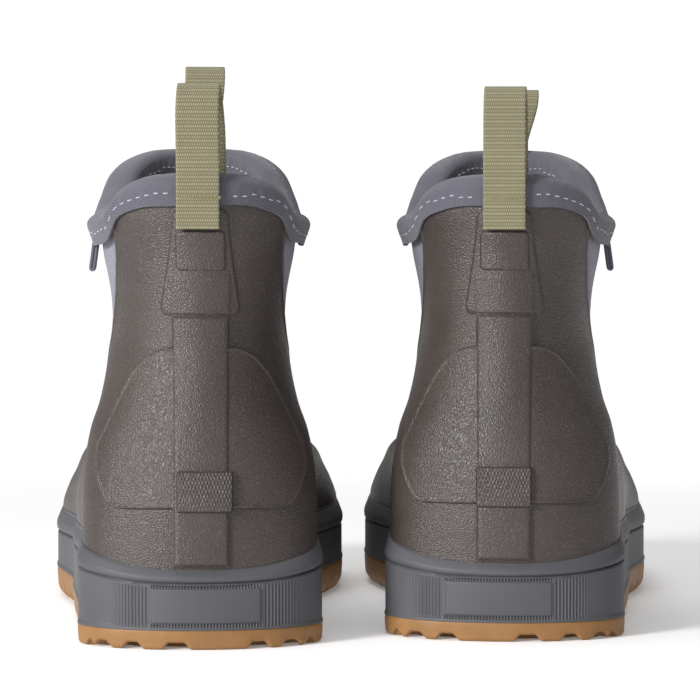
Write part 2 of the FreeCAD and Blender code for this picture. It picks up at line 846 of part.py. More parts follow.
def kick_tab(doc, form, hand, label):
    """Ledge low on the back band, for taking the boot off against a step."""
    half = form.size("band_width") / 2 - 0.3
    return overlay(doc, form, hand, label, lambda up: half, (49.6, 64.7), (-4.2, -2.25), 5, 4)


def rear_loop_patch(doc, form, hand, label):
    gap = form.size("clearance")
    half = Curve((120.5, 15.5), (150, 11.4), (160, 10.6))
    return overlay(doc, form, hand, label, half, (120.5, 158.0), (-0.8 - gap, -gap), 7, 6)


def rear_loop_pad(doc, form, hand, label):
    """Bump over the sewn-in end of the webbing."""
    gap = form.size("clearance")
    return overlay(doc, form, hand, label, lambda up: 9.1, (137.0, 151.6), (-1.8 - gap, -0.9 - gap), 5, 4)


def front_loop_patch(doc, form, hand, label):
    gap = form.size("clearance")
    half = Curve((130, 15.0), (165, 11.5))

    def ways(up):
        way = form.way_across(half(up), up, 1.0)
        return 1 - way, 1 + way

    shape = patch(form, hand, ways, lambda along: (136.0, 168.5), (-0.8 - gap, -gap), 7, 6)
    return shaped(doc, label, shape)


# ---------------------------------------------------------------- the collar and what hangs on it


def collar_binding(doc, form, hand, label):
    """Cloth strip folded over the collar's edge: outer leg, top and inner leg."""
    gap = form.size("clearance")
    thick = form.size("binding_thick")
    tall = form.size("binding_height")
    outer = -gap
    inner = padding_depths(form)[1] + gap

    def rail(depth, drop):
        return lambda way: form.layer(way, form.collar(form.skin(way, COLLAR_LEVEL).y) - drop, depth)

    drops = (tall, 8.5, 6.0, 3.8, 2.0)
    rails = [rail(outer - thick, drop) for drop in drops]
    rails += [rail(outer + 1.2, 0.0), rail(inner - 1.2, 0.0)]
    rails += [rail(inner + thick, drop) for drop in (2.0, 5.0, tall - 1.5)]
    rails += [rail(inner, drop) for drop in (tall - 1.5, 5.0, 1.2)]
    rails += [rail(outer, drop) for drop in (1.2, 3.8, 6.0, 8.5, tall)]
    return shaped(doc, label, railed(rails, hand))


def binding_stitching(doc, form, hand, label):
    """One row of thread round the binding, as short stitches that don't touch it."""
    thick = 0.5
    long_stitch = 3.2
    count = 56
    depth = -form.size("clearance") - form.size("binding_thick") - 0.35
    stitches = []
    for i in range(count):
        way = 2 * (i + 0.5) / count - 1
        across = abs(form.skin(way, COLLAR_LEVEL).x)
        if across < form.size("webbing_width") / 2 + 2.5:
            continue
        up = form.collar(form.skin(way, COLLAR_LEVEL).y) - 6.4
        centre = mirrored(form.layer(way, up, depth), hand)
        ahead = form.collar(form.skin(way + 0.01, COLLAR_LEVEL).y) - 6.4
        along = mirrored(form.layer(way + 0.01, ahead, depth), hand) - centre
        stitch = Part.makeCylinder(thick / 2, long_stitch, VECTOR(0, 0, -long_stitch / 2))
        stitch.Placement = FreeCAD.Placement(centre, FreeCAD.Rotation(UP, along))
        stitches.append(stitch)
    return shaped(doc, label, Part.makeCompound(stitches))


def loop_middle(form, front):
    """Where the loop stands along the boot, and the collar's height there."""
    way, collar = (1.0, form.size("collar_front")) if front else (0.0, form.size("collar_rear"))
    return form.layer(way, collar - 3, padding_depths(form)[1] / 2).y, collar


def pull_loop(doc, form, hand, label, front):
    """The free part of a webbing loop: an arch, padded and then opened by a smaller arch."""
    end = "front" if front else "rear"
    body = new_body(doc, label)
    low = f"Sizes.collar_{end} + Sizes.loop_start"
    top = f"Sizes.{end}_loop_top"
    outer = arch(body, f"{label}_outer", "Sizes.loop_gap / 2 + Sizes.webbing_thick", low, top)
    pad(body, f"{label}_pad", outer, "Sizes.webbing_width", midplane=True)
    inner = arch(body, f"{label}_inner", "Sizes.loop_gap / 2", f"{low} - 1", f"{top} - Sizes.webbing_thick")
    gap = body.newObject("PartDesign::Pocket", f"{label}_gap")
    gap.Profile = inner
    gap.Type = "ThroughAll"
    gap.Midplane = True
    along = loop_middle(form, front)[0]
    body.Placement.Base = VECTOR(form.middle(along) * hand, along, 0)
    return body


def rear_loop(doc, form, hand, label):
    return pull_loop(doc, form, hand, label, False)


def front_loop(doc, form, hand, label):
    return pull_loop(doc, form, hand, label, True)


def loop_tails(doc, form, hand, label, front):
    """The two sewn ends of the webbing: one outside over the binding, one inside on the padding."""
    half = form.size("webbing_width") / 2
    thick = form.size("webbing_thick")
    gap = form.size("clearance")
    binding = form.size("binding_thick")
    collar = form.size("collar_front") if front else form.size("collar_rear")
    outside = -gap * 2 - binding
    inside = padding_depths(form)[1] + 2 * gap + binding
    centre = 1.0 if front else 0.0

    def ways(up):
        way = form.way_across(half, up, centre)
        return centre - way, centre + way

    solids = []
    for low, depths in (
        (collar - 20.0, (outside - thick, outside)),
        (collar - 18.0, (inside, inside + thick)),
    ):
        solids.append(patch(form, hand, ways, lambda along: (low, collar + 3.0), depths, 5, 5))
    return shaped(doc, label, Part.makeCompound(solids))


def rear_loop_tails(doc, form, hand, label):
    return loop_tails(doc, form, hand, label, False)


def front_loop_tails(doc, form, hand, label):
    return loop_tails(doc, form, hand, label, True)


def side_tag(doc, form, hand, label):
    """Folded cloth tab that hangs under the binding on the outer side."""
    body = new_body(doc, label)
    sketch = rectangle(
        body, f"{label}_outline", "YZ_Plane",
        "Sizes.tag_width", "Sizes.tag_length", "-Sizes.tag_width / 2", "-Sizes.tag_length - 1",
    )
    leaf = pad(body, f"{label}_leaf", sketch, "Sizes.tag_thick", midplane=True)
    doc.recompute()
    corners = []
    for number, edge in enumerate(leaf.Shape.Edges, start=1):
        level = edge.CenterOfMass.z < -form.size("tag_length") - 0.9
        if level and abs(edge.tangentAt(edge.FirstParameter).y) > 0.99:
            corners.append(f"Edge{number}")
    fold = body.newObject("PartDesign::Fillet", f"{label}_fold")
    fold.Base = (leaf, corners)
    fold.setExpression("Radius", "Sizes.tag_thick * 0.45")
    body.Placement.Base = mirrored(tag_hinge(form), hand)
    return body


def tag_hinge(form):
    """Where the tag is sewn on: just under the binding, at the bottom of the collar's side dip."""
    along = 55.0
    up = form.size("collar_side") - form.size("binding_height") - 0.5
    way = form.way_at(along, up, -1)
    return form.layer(way, up, -2.4)


# ---------------------------------------------------------------- assembly

PIECES = (
    outsole, sidewall, heel_plate, midsole, shank, insole_board, footbed, rear_quarter, vamp, toe_cap,
    toe_puff, heel_counter, heel_panel, back_band, kick_tab, rear_loop_patch, rear_loop_pad,
    front_loop_patch, lining, collar_padding, lateral_gusset, medial_gusset, collar_binding,
    binding_stitching, rear_loop_tails, rear_loop, front_loop_tails, front_loop, side_tag,
)


def boot_place(form, hand):
    """The boot's place in the pair: hand is 1 for the left boot, -1 for the right."""
    spacing = form.size("heel_spacing") / 2
    ahead = 0.0 if hand > 0 else form.size("stagger")
    turn = FreeCAD.Rotation(UP, form.size("toe_out") * hand)
    return FreeCAD.Placement(VECTOR(-spacing * hand, ahead, 0), turn)


def build_pair(doc, form):
    """Every piece of both boots, set in the pair's frame and centred over the origin."""
    made = []
    for hand, name in ((1, "left"), (-1, "right")):
        place = boot_place(form, hand)
        for build in PIECES:
            piece = build(doc, form, hand, f"{name}_{build.__name__}")
            doc.recompute()
            piece.Placement = place.multiply(piece.Placement)
            made.append(piece)
    doc.recompute()
    walls = Part.makeCompound([piece.Shape for piece in made if "sidewall" in piece.Label])
    plates = Part.makeCompound([piece.Shape for piece in made if "heel_plate" in piece.Label])
    box = Part.makeCompound([walls, plates]).optimalBoundingBox(False)
    shift = VECTOR(-box.Center.x, -box.Center.y, 0)
    for piece in made:
        piece.Placement = FreeCAD.Placement(shift, FreeCAD.Rotation()).multiply(piece.Placement)
    doc.recompute()
    for hand, name in ((1, "left"), (-1, "right")):
        place = FreeCAD.Placement(shift, FreeCAD.Rotation()).multiply(boot_place(form, hand))
        report(form, hand, name, place)
    return made


def report(form, hand, name, place):
    """Prints the places that a record of this part needs."""
    print(name, "heel on the ground", [round(c, 2) for c in place.Base])
    for front in (False, True):
        middle, collar = loop_middle(form, front)
        hinge = place.multVec(VECTOR(form.middle(middle) * hand, middle, collar + 2))
        print(name, "front" if front else "rear", "loop hinge", [round(c, 2) for c in hinge])
    hinge = place.multVec(mirrored(tag_hinge(form), hand))
    print(name, "tag hinge", [round(c, 2) for c in hinge])


def check(doc, made):
    """Stops on any failed object or bad shape before anything is written."""
    for thing in doc.Objects:
        failed = [state for state in thing.State if state in ("Invalid", "Error")]
        if failed:
            raise RuntimeError(f"{thing.Label} is {failed}")
    for piece in made:
        shape = piece.Shape
        if shape.isNull() or not shape.isValid() or shape.Volume <= 0:
            raise RuntimeError(f"{piece.Label} has a bad shape")


def main():
    doc = FreeCAD.newDocument("deck_boots")
    form = Form(make_sheet(doc))
    made = build_pair(doc, form)
    check(doc, made)
    os.makedirs("parts", exist_ok=True)
    for piece in made:
        piece.Shape.exportStep(os.path.join("parts", f"{piece.Label}.step"))
        print(piece.Label, round(piece.Shape.Volume / 1000, 2), "cm3")


main()
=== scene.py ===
import json
import math

import bmesh
import bpy
import numpy as np
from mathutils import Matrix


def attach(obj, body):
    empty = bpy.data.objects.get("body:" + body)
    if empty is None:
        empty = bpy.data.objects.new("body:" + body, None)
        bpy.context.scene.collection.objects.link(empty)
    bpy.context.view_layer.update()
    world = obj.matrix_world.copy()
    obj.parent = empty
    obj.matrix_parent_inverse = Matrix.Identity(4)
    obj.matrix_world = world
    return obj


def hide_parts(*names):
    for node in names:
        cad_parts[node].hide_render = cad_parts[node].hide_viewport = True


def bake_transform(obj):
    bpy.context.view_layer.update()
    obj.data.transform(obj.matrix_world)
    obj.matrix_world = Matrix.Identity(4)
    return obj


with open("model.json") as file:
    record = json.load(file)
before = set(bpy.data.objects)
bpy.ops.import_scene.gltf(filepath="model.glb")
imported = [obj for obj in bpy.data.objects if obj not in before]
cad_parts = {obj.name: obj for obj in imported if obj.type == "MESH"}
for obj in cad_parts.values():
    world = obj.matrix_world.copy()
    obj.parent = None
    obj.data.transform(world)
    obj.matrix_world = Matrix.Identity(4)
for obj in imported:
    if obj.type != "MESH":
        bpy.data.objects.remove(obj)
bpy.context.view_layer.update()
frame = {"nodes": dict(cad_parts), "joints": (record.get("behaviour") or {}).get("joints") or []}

# Looks for a pair of rubber ankle deck boots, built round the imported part.
#
# Every surface is worked out as whole arrays in one boot's own frame, in millimetres: "across" is positive
# towards the other foot, "along" runs from heel to toe, "up" from the ground.  "way" says how far round the
# boot a point is: 0 at the back, 1 at the front, negative on the outer side.  The hinges of the two pull
# loops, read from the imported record, say where each boot stands.

MM = 0.001
LONG = 308.0
HEEL, WAIST, BALL = 45.0, 42.5, 60.0
FLARE = 7.0
ANKLE, COLLAR = 33.2, 42.5
COLLAR_REAR, COLLAR_DIP, COLLAR_FRONT = 172.6, 157.5, 184.0
GAP = 0.35
RUBBER, STIFFENER, LINING, PADDING = 2.0, 1.5, 3.0, 3.0
CLOTH_OUTER = RUBBER + GAP
LINING_OUTER = CLOTH_OUTER + STIFFENER + GAP
LINING_INNER = LINING_OUTER + LINING
PADDING_OUTER = LINING_INNER + GAP
PADDING_INNER = PADDING_OUTER + PADDING
BINDING_TALL, BINDING_THICK = 11.0, 1.1
WEBBING_WIDE, WEBBING_THICK, LOOP_HALF = 15.6, 1.7, 7.45
TAG_WIDE, TAG_THICK = 13.0, 1.25
STITCH_DROP = 9.2
BAND_HALF = 10.3
PLATE_HALF, PLATE_OFFSET, PLATE_LOW, PLATE_TALL = 19.8, 1.9, 9.6, 12.6
HEEL_RADIUS, RIB_PITCH, TICK_PITCH = 45.0, 1.3, 1.05
TREAD_DEEP, MIDSOLE_REST = 2.5, 6.9
UPPER_LOW, INSIDE_LOW, COLLAR_TUCK = 22.0, 16.0, 4.0
FOOTBED_LOW, FOOTBED_RIM, FOOTBED_TOP = 17.25, 17.5, 20.4


# ---------------------------------------------------------------- curves and the boot's form


class Curve:
    """A value through (place, value) points: between two neighbours a cubic whose slopes are the harmonic
    mean of the steps either side, so that it never overshoots."""

    def __init__(self, *points):
        self.at, self.value = (np.array(column, float) for column in zip(*points))
        steps = np.diff(self.value) / np.diff(self.at)
        before, after = steps[:-1], steps[1:]
        rising = before * after > 0
        total = np.where(rising, before + after, 1.0)
        inner = np.where(rising, 2 * before * after / total, 0.0)
        self.slope = np.concatenate(([steps[0]], inner, [steps[-1]]))

    def __call__(self, place):
        place = np.clip(place, self.at[0], self.at[-1])
        i = np.clip(np.searchsorted(self.at, place, side="left") - 1, 0, len(self.at) - 2)
        span = self.at[i + 1] - self.at[i]
        part = (place - self.at[i]) / span
        rest = 1 - part
        return (
            self.value[i] * (1 + 2 * part) * rest**2
            + self.slope[i] * span * part * rest**2
            + self.value[i + 1] * (1 + 2 * rest) * part**2
            - self.slope[i + 1] * span * rest * part**2
        )


def ease(low, high, part):
    """From low to high as part goes from 0 to 1, level at both ends: a cubic step."""
    part = np.clip(part, 0.0, 1.0)
    return low + (high - low) * part**2 * (3 - 2 * part)


def bell(offset, width, power=2):
    """1 at offset 0, falling away on both sides over about the width: e to minus a power of their ratio."""
    return np.exp(-((offset / width) ** power))


def unit(vectors):
    """The vectors made one long."""
    return vectors / np.linalg.norm(vectors, axis=-1, keepdims=True)


def rounding(distance, length):
    """1 beyond length, falling to 0 at distance 0 along a quarter of an ellipse."""
    part = np.clip(distance / length, 0.0, 1.0)
    return np.sqrt(1 - (1 - part) ** 2)


HEEL_AT, WAIST_AT = 50.0, 0.385 * LONG
BALL_MEDIAL, BALL_LATERAL = 0.68 * LONG, 0.61 * LONG
REAR = Curve((0, 4), (30, 1.5), (50, 1), (80, 4), (113, 9), (140, 8), (165, 4.5), (200, 1))
FRONT = Curve(
    (0, LONG - 12), (12, LONG - 6), (25, LONG - 3), (34, LONG - 3), (42, LONG - 6), (50, LONG - 13),
    (56, LONG - 25), (61, LONG - 42), (66, LONG - 62), (73, LONG - 86), (82, LONG - 112), (92, LONG - 137),
    (103, LONG - 158), (115, LONG - 172), (130, LONG - 181), (150, LONG - 187), (170, LONG - 189),
    (200, LONG - 187),
)
HEEL_HALF = Curve(
    (0, HEEL - 9), (15, HEEL - 4), (30, HEEL - 1.5), (52, HEEL - 1.5), (64, HEEL - 2.2), (77, HEEL - 4.4),
    (88, HEEL - 8), (100, ANKLE + 1.4), (113, ANKLE), (125, ANKLE + 0.5), (140, ANKLE + 3),
    (150, COLLAR - 3.4), (158, COLLAR - 0.9), (175, COLLAR), (200, COLLAR + 1),
)
WAIST_HALF = Curve(
    (0, WAIST - 10), (15, WAIST - 4), (30, WAIST - 1.5), (50, WAIST - 1), (65, WAIST - 2.5),
    (80, WAIST - 5), (95, ANKLE + 2), (113, ANKLE), (130, ANKLE + 0.5), (150, ANKLE + 3),
    (175, COLLAR - 3), (200, COLLAR - 1.5),
)
BALL_HALF = Curve(
    (0, BALL - 12), (15, BALL - 5), (30, BALL - 2), (38, BALL - 2.2), (47, BALL - 5), (53, BALL - 8),
    (59, BALL - 10.5), (66, BALL - 15), (76, BALL - 20), (90, ANKLE + 4), (113, ANKLE), (200, ANKLE + 5),
)
REAR_ROUND = Curve((0, 26), (30, 28.5), (60, 34), (90, 41), (113, 44), (200, 46))
FRONT_ROUND = Curve((0, 68), (45, 74), (80, 72), (100, 62), (120, 56), (200, 54))
COLLAR_TOP = Curve(
    (0, COLLAR_REAR), (9, COLLAR_REAR - 1.3), (14, COLLAR_REAR - 3.0), (18, COLLAR_REAR - 5.4),
    (22, COLLAR_DIP + 5.2), (26, COLLAR_DIP + 2.0), (34, COLLAR_DIP + 0.5), (57, COLLAR_DIP),
    (75, COLLAR_DIP + 2.5), (86, COLLAR_DIP + 10.0), (95, COLLAR_FRONT - 8.0), (104, COLLAR_FRONT - 3.2),
    (113, COLLAR_FRONT - 0.6), (120, COLLAR_FRONT), (130, COLLAR_FRONT),
)
WALL_TOP = Curve(
    (0, 29.1), (3, 29.9), (10, 32.4), (17, 34.4), (28, 37.0), (45, 39.0), (120, 38.0), (190, 37.0),
    (260, 39.0), (LONG, 42.0),
)
GROOVE_DROP = Curve((0, 5.0), (17, 7.2), (45, 9.3), (LONG, 10.0))
GUM_TOP = Curve((0, 7.1), (45, 7.3), (95, 11.8), (LONG, 13.6))
WINDOW_REAR = Curve(
    (0, 58), (60, 56), (80, 56), (92, 60), (99, 63.5), (104, 57), (110, 48), (118, 41), (126, 36.5),
    (135, 32), (150, 25.5), (165, 22), (200, 21),
)
WINDOW_FRONT = Curve(
    (0, 58.4), (60, 56.4), (80, 56.4), (92, 60.4), (99, 64), (104, 71), (112, 80), (125, 88), (140, 92),
    (200, 94),
)


def middle(along):
    """How far the middle line has moved towards the other foot."""
    return ease(0.0, 5.0, (along - 60) / (LONG - 60))


def width_along(along, side, heel, waist, ball):
    """Half width: eased from the heel's to the waist's, from the waist's to the ball's, then a little in."""
    ball_at = np.where(side > 0, BALL_MEDIAL, BALL_LATERAL)
    rear = ease(heel, waist, (along - HEEL_AT) / (WAIST_AT - HEEL_AT))
    fore = ease(waist, ball, (along - WAIST_AT) / (ball_at - WAIST_AT))
    toe = ease(ball, 0.94 * ball, (along - ball_at) / (LONG - ball_at))
    return np.where(along < WAIST_AT, rear, np.where(along < ball_at, fore, toe))


def skin(way, up):
    """A point of the upper's outside: along goes from the back profile to the front profile as half a
    cosine wave, and across is the half width there, rounded off at both ends."""
    way, up = np.broadcast_arrays((np.asarray(way, float) + 1) % 2 - 1, np.asarray(up, float))
    side = np.where(way >= 0, 1.0, -1.0)
    rear, front = REAR(up), FRONT(up)
    along = rear + (front - rear) * (1 - np.cos(math.pi * way)) / 2
    waist = WAIST_HALF(up) + ease(FLARE, 0.0, (up - 45) / 40) * (side < 0)
    half = width_along(along, side, HEEL_HALF(up), waist, BALL_HALF(up))
    half = half * rounding(along - rear, REAR_ROUND(up)) * rounding(front - along, FRONT_ROUND(up))
    return np.stack([middle(along) + side * half, along, up], -1)


def normal(way, up):
    """The outward direction of the skin: the cross product of a step round it and a step up it."""
    around = skin(way + 0.01, up) - skin(way - 0.01, up)
    upward = skin(way, up + 0.5) - skin(way, up - 0.5)
    return unit(np.cross(around, upward))


def layer(way, up, depth):
    """The point under skin(way, up), depth inwards along the skin's normal."""
    way, up, depth = np.broadcast_arrays(*(np.asarray(v, float) for v in (way, up, depth)))
    return skin(way, up) - normal(way, up) * depth[..., None]


def way_at(along, up):
    """How far round the skin reaches a place along the boot: the half cosine wave turned round."""
    rear, front = REAR(up), FRONT(up)
    return np.arccos(1 - 2 * np.clip((along - rear) / (front - rear), 0, 1)) / math.pi


def way_across(across, up, centre):
    """How far round from the back (centre 0) or front (centre 1) the skin is this far across, by halving."""
    across, up = np.broadcast_arrays(np.asarray(across, float), np.asarray(up, float))
    near, far = np.zeros(across.shape), np.full(across.shape, 0.45)
    start = skin(centre, up)[..., 0]
    for _ in range(24):
        between = (near + far) / 2
        short = np.abs(skin(centre + between, up)[..., 0] - start) < across
        near, far = np.where(short, between, near), np.where(short, far, between)
    return near


def sole(way, up, inset):
    """A point of the sole's upright edge, or inset from it: the same wave as skin() with fixed widths."""
    way, up, inset = np.broadcast_arrays(*(np.asarray(v, float) for v in (way, up, inset)))
    side = np.where(way >= 0, 1.0, -1.0)
    along = inset + (LONG - 2 * inset) * (1 - np.cos(math.pi * way)) / 2
    half = width_along(along, side, HEEL, WAIST + FLARE * (side < 0), BALL) - inset
    half = half * rounding(along - inset, 27 - inset) * rounding(LONG - inset - along, 74 - inset)
    return np.stack([middle(along) + side * half, along, up], -1)


def sole_inward(way, edge):
    """The level direction from the sole's edge to its inset, one long."""
    inward = sole(way, 0.0, 1.0) - edge
    return inward / np.maximum(np.linalg.norm(inward, axis=-1, keepdims=True), 1e-6)


def collar_at(way):
    """The collar's top over one way round the boot."""
    return COLLAR_TOP(skin(way, 165.0)[..., 1])


# ---------------------------------------------------------------- grids and meshes


def crowded(low, high, count, *crowds):
    """count places from low to high, closer together near each (place, reach, how much closer): even steps
    of the running total of 1 plus a bell curve at each."""
    fine = np.linspace(low, high, 4000)
    density = np.ones(4000)
    for place, reach, closer in crowds:
        density += closer * np.exp(-(((fine - place) / reach) ** 2))
    total = np.concatenate(([0], np.cumsum((density[1:] + density[:-1]) / 2)))
    return np.interp(np.linspace(0, total[-1], count), total, fine)


def front_levels(low, high, count):
    """Shares of the height from low to high that are evenly spaced along the front profile."""
    fine = np.linspace(low, high, 2000)
    run = np.concatenate(([0], np.cumsum(np.hypot(np.diff(fine), np.diff(FRONT(fine))))))
    return (np.interp(np.linspace(0, run[-1], count), run, fine) - low) / (high - low)


def panel(way_ends, up_ends, across, upward):
    """way and up over a panel of the upper: across and upward are shares from 0 to 1 between its upright
    edges way_ends(up) and its lower and upper edges up_ends(along), which a few rounds settle."""
    ends = [np.full(len(across), float(value)) for value in up_ends(0.0)]
    for which in (0, 1):
        for _ in range(6):
            start, end = way_ends(ends[which])
            along = skin(start + (end - start) * across, ends[which])[:, 1]
            ends[which] = up_ends(along)[which] + 0 * along
    up = ends[0][:, None] + (ends[1] - ends[0])[:, None] * upward[None, :]
    start, end = way_ends(up)
    return start + (end - start) * across[:, None], up


def border_distance(points, corner):
    """How far each point of a grid is from the grid's border, measured along the grid's own lines, with the
    corners rounded off at a radius."""
    sides = []
    for axis in (0, 1):
        steps = np.linalg.norm(np.diff(points, axis=axis), axis=-1)
        first = np.zeros((1, points.shape[1])) if axis == 0 else np.zeros((points.shape[0], 1))
        run = np.concatenate([first, np.cumsum(steps, axis)], axis)
        whole = run.max(axis=axis, keepdims=True)
        sides.append(np.minimum(run, whole - run))
    one, other = sides
    inside = corner - np.hypot(np.maximum(corner - one, 0), np.maximum(corner - other, 0))
    return np.where((one < corner) & (other < corner), inside, np.minimum(one, other))


def plate(outer, inner):
    """Points and faces of a closed plate: the outer grid, the inner grid and a rim joining their borders."""
    n, m = outer.shape[:2]
    index = np.arange(n * m).reshape(n, m)
    quads = np.stack([index[:-1, :-1], index[1:, :-1], index[1:, 1:], index[:-1, 1:]], -1).reshape(-1, 4)
    rim = np.concatenate([index[:-1, 0], index[-1, :-1], index[:0:-1, -1], index[0, :0:-1]])
    following = np.roll(rim, -1)
    sides = np.stack([following, rim, rim + n * m, following + n * m], -1)
    faces = np.concatenate([quads, quads[:, ::-1] + n * m, sides])
    return np.concatenate([outer.reshape(-1, 3), inner.reshape(-1, 3)]), faces


def ring(grid, closed=True):
    """Points and faces of grid[around, along the profile], joined up round the boot and, where it is
    closed, from the profile's last point to its first."""
    n, m = grid.shape[:2]
    i, j = np.meshgrid(np.arange(n), np.arange(m if closed else m - 1), indexing="ij")
    k, l = (i + 1) % n, (j + 1) % m
    faces = np.stack([i * m + j, k * m + j, k * m + l, i * m + l], -1).reshape(-1, 4)
    return grid.reshape(-1, 3), faces


def ring_map(around, profile):
    """Each face corner's place on the flat cloth of a ring: around has one value more than the columns."""
    i, j = np.meshgrid(np.arange(len(around) - 1), np.arange(len(profile) - 1), indexing="ij")
    corners = [(i, j), (i + 1, j), (i + 1, j + 1), (i, j + 1)]
    return np.stack([np.stack([profile[b], around[a]], -1) for a, b in corners], -2).reshape(-1, 4, 2)


def tube(grid):
    """Points and faces of grid[along, round a flat profile], closed at both ends by strips across it."""
    n, m = grid.shape[:2]
    i, j = np.meshgrid(np.arange(n - 1), np.arange(m), indexing="ij")
    l = (j + 1) % m
    walls = np.stack([i * m + j, (i + 1) * m + j, (i + 1) * m + l, i * m + l], -1).reshape(-1, 4)
    k = np.arange(m // 2 - 1)
    first = np.stack([k, k + 1, m - 2 - k, m - 1 - k], -1)
    last = first[:, ::-1] + (n - 1) * m
    return grid.reshape(-1, 3), np.concatenate([walls, first, last])


def many_tubes(grids):
    """The tubes of grids[which, along, round] as one set of points and faces."""
    points, faces = tube(grids[0])
    offsets = np.arange(len(grids))[:, None, None] * len(points)
    return grids.reshape(-1, 3), (faces[None] + offsets).reshape(-1, 4)


def volume(points, faces):
    """Six times the volume inside the faces, negative where they point inwards."""
    a, b, c, d = (points[faces[:, k]] for k in range(4))
    return float((a * np.cross(b, c)).sum() + (a * np.cross(c, d)).sum())


class Boot:
    """One boot of the pair: its name, its hand (1 left, -1 right) and where it stands."""

    def __init__(self, name, hand):
        self.name, self.hand = name, hand
        hinges = {j["name"]: np.array(j["pos_m"]) for j in frame["joints"] if j["type"] == "hinge"}
        rear, front = (hinges[f"{name}_{end}_loop_hinge"] for end in ("rear", "front"))
        own_rear, own_front = (self.turned_over(self.loop_foot(end)) for end in ("rear", "front"))
        reach, own_reach = front - rear, own_front - own_rear
        turn = math.atan2(reach[1], reach[0]) - math.atan2(own_reach[1], own_reach[0])
        self.turn = np.array([
            [math.cos(turn), -math.sin(turn), 0], [math.sin(turn), math.cos(turn), 0], [0, 0, 1],
        ])
        self.base = rear - self.turn @ own_rear

    def loop_foot(self, end):
        """The middle of a pull loop's hinge in the boot's own frame."""
        way, top = (1.0, COLLAR_FRONT) if end == "front" else (0.0, COLLAR_REAR)
        along = float(layer(way, top - 3, PADDING_INNER / 2)[1])
        return np.array([float(middle(along)), along, top + 2])

    def turned_over(self, points):
        return points * np.array([self.hand, 1, 1]) * MM

    def placed(self, points):
        """From the boot's own millimetres to metres in the pair's frame."""
        return self.turned_over(points) @ self.turn.T + self.base

    def piece(self, label, surface, finish, replaces=(), uv=None, body="boot", smooth=38):
        """Puts a closed surface into the scene as one named piece, with the slot of its finish, riding on
        its body where one is given."""
        points, faces = surface
        points = self.placed(points)
        if volume(points, faces) < 0:
            faces = faces[:, ::-1]
            uv = None if uv is None else uv[:, ::-1]
        name = f"{self.name}_{label}"
        mesh = bpy.data.meshes.new(name)
        mesh.vertices.add(len(points))
        mesh.vertices.foreach_set("co", points.astype(np.float32).ravel())
        mesh.loops.add(faces.size)
        mesh.loops.foreach_set("vertex_index", faces.astype(np.int32).ravel())
        mesh.polygons.add(len(faces))
        mesh.polygons.foreach_set("loop_start", np.arange(0, faces.size, 4, dtype=np.int32))
        mesh.update(calc_edges=True)
        if uv is not None:
            cloth = mesh.uv_layers.new(name="cloth")
            cloth.data.foreach_set("uv", uv.astype(np.float32).ravel())
        mesh.shade_smooth()
        mesh.set_sharp_from_angle(angle=math.radians(smooth))
        mesh.materials.append(finish)
        thing = bpy.data.objects.new(name, mesh)
        bpy.context.scene.collection.objects.link(thing)
        thing.data.validate()
        if body is not None:
            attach(thing, f"{self.name}_{body}")
        if replaces:
            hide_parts(*(f"{self.name}_{node}" for node in replaces))
        return thing


# ---------------------------------------------------------------- finishes


class Nodes:
    """Adds shader nodes to one tree; an input is a number, a colour or another node's output."""

    def __init__(self, tree):
        self.tree = tree

    def add(self, kind, inputs=None, **settings):
        node = self.tree.nodes.new("ShaderNode" + kind)
        for name, value in settings.items():
            setattr(node, name, value)
        for key, value in (inputs or {}).items():
            if isinstance(value, bpy.types.NodeSocket):
                self.tree.links.new(value, node.inputs[key])
            else:
                node.inputs[key].default_value = value
        return node

    def math(self, operation, *values):
        return self.add("Math", dict(enumerate(values)), operation=operation).outputs[0]

    def remap(self, value, low, high, out_low=0.0, out_high=1.0):
        inputs = {"Value": value, "From Min": low, "From Max": high, "To Min": out_low, "To Max": out_high}
        return self.add("MapRange", inputs, interpolation_type="SMOOTHSTEP").outputs[0]

    def mix(self, share, first, second):
        return self.add("Mix", {0: share, 6: first, 7: second}, data_type="RGBA").outputs[2]

    def noise(self, vector, scale, detail, **more):
        inputs = {"Vector": vector, "Scale": scale, "Detail": detail, **more}
        return self.add("TexNoise", inputs).outputs["Fac"]

    def stain(self, mask, strength, body, colour):
        """The body's colour moved towards another by up to strength, where the mask is 1."""
        return self.mix(self.math("MULTIPLY", mask, strength), body, colour)


def group(name, inputs, outputs):
    """A new shader node group with named number inputs (value by default) and number outputs."""
    tree = bpy.data.node_groups.new(name, "ShaderNodeTree")
    for label, value in inputs.items():
        socket = tree.interface.new_socket(name=label, in_out="INPUT", socket_type="NodeSocketFloat")
        socket.default_value = value
    for label in outputs:
        tree.interface.new_socket(name=label, in_out="OUTPUT", socket_type="NodeSocketFloat")
    given, put = tree.nodes.new("NodeGroupInput"), tree.nodes.new("NodeGroupOutput")
    return tree, Nodes(tree), given.outputs, put


def place_of(nodes):
    """The point in the piece's own coordinates."""
    return nodes.add("TexCoord").outputs["Object"]


def make_grain():
    """Pebbled rubber: small cells with rounded tops over a slower, shallower unevenness; the second output
    marks scattered specks, which rubber_finish makes glossier and lightens as a painted highlight."""
    tree, nodes, given, put = group("rubber_grain", {"Cells per metre": 900.0}, ("Height", "Painted glint"))
    place = place_of(nodes)
    cells = nodes.add("TexVoronoi", {"Vector": place, "Scale": given[0]}, feature="SMOOTH_F1")
    cells.inputs["Smoothness"].default_value = 0.25
    slow = nodes.noise(place, nodes.math("MULTIPLY", given[0], 0.35), 3.0)
    specks = nodes.noise(place, nodes.math("MULTIPLY", given[0], 0.8), 2.0)
    low = nodes.math("MULTIPLY", cells.outputs["Distance"], -1.0)
    height = nodes.math("ADD", low, nodes.math("MULTIPLY", slow, 0.2))
    # scattered specks: they lower the roughness and, in rubber_finish, carry a painted highlight in the
    # colour
    painted_glint = nodes.remap(specks, 0.56, 0.7)
    tree.links.new(height, put.inputs[0])
    tree.links.new(painted_glint, put.inputs[1])
    return tree


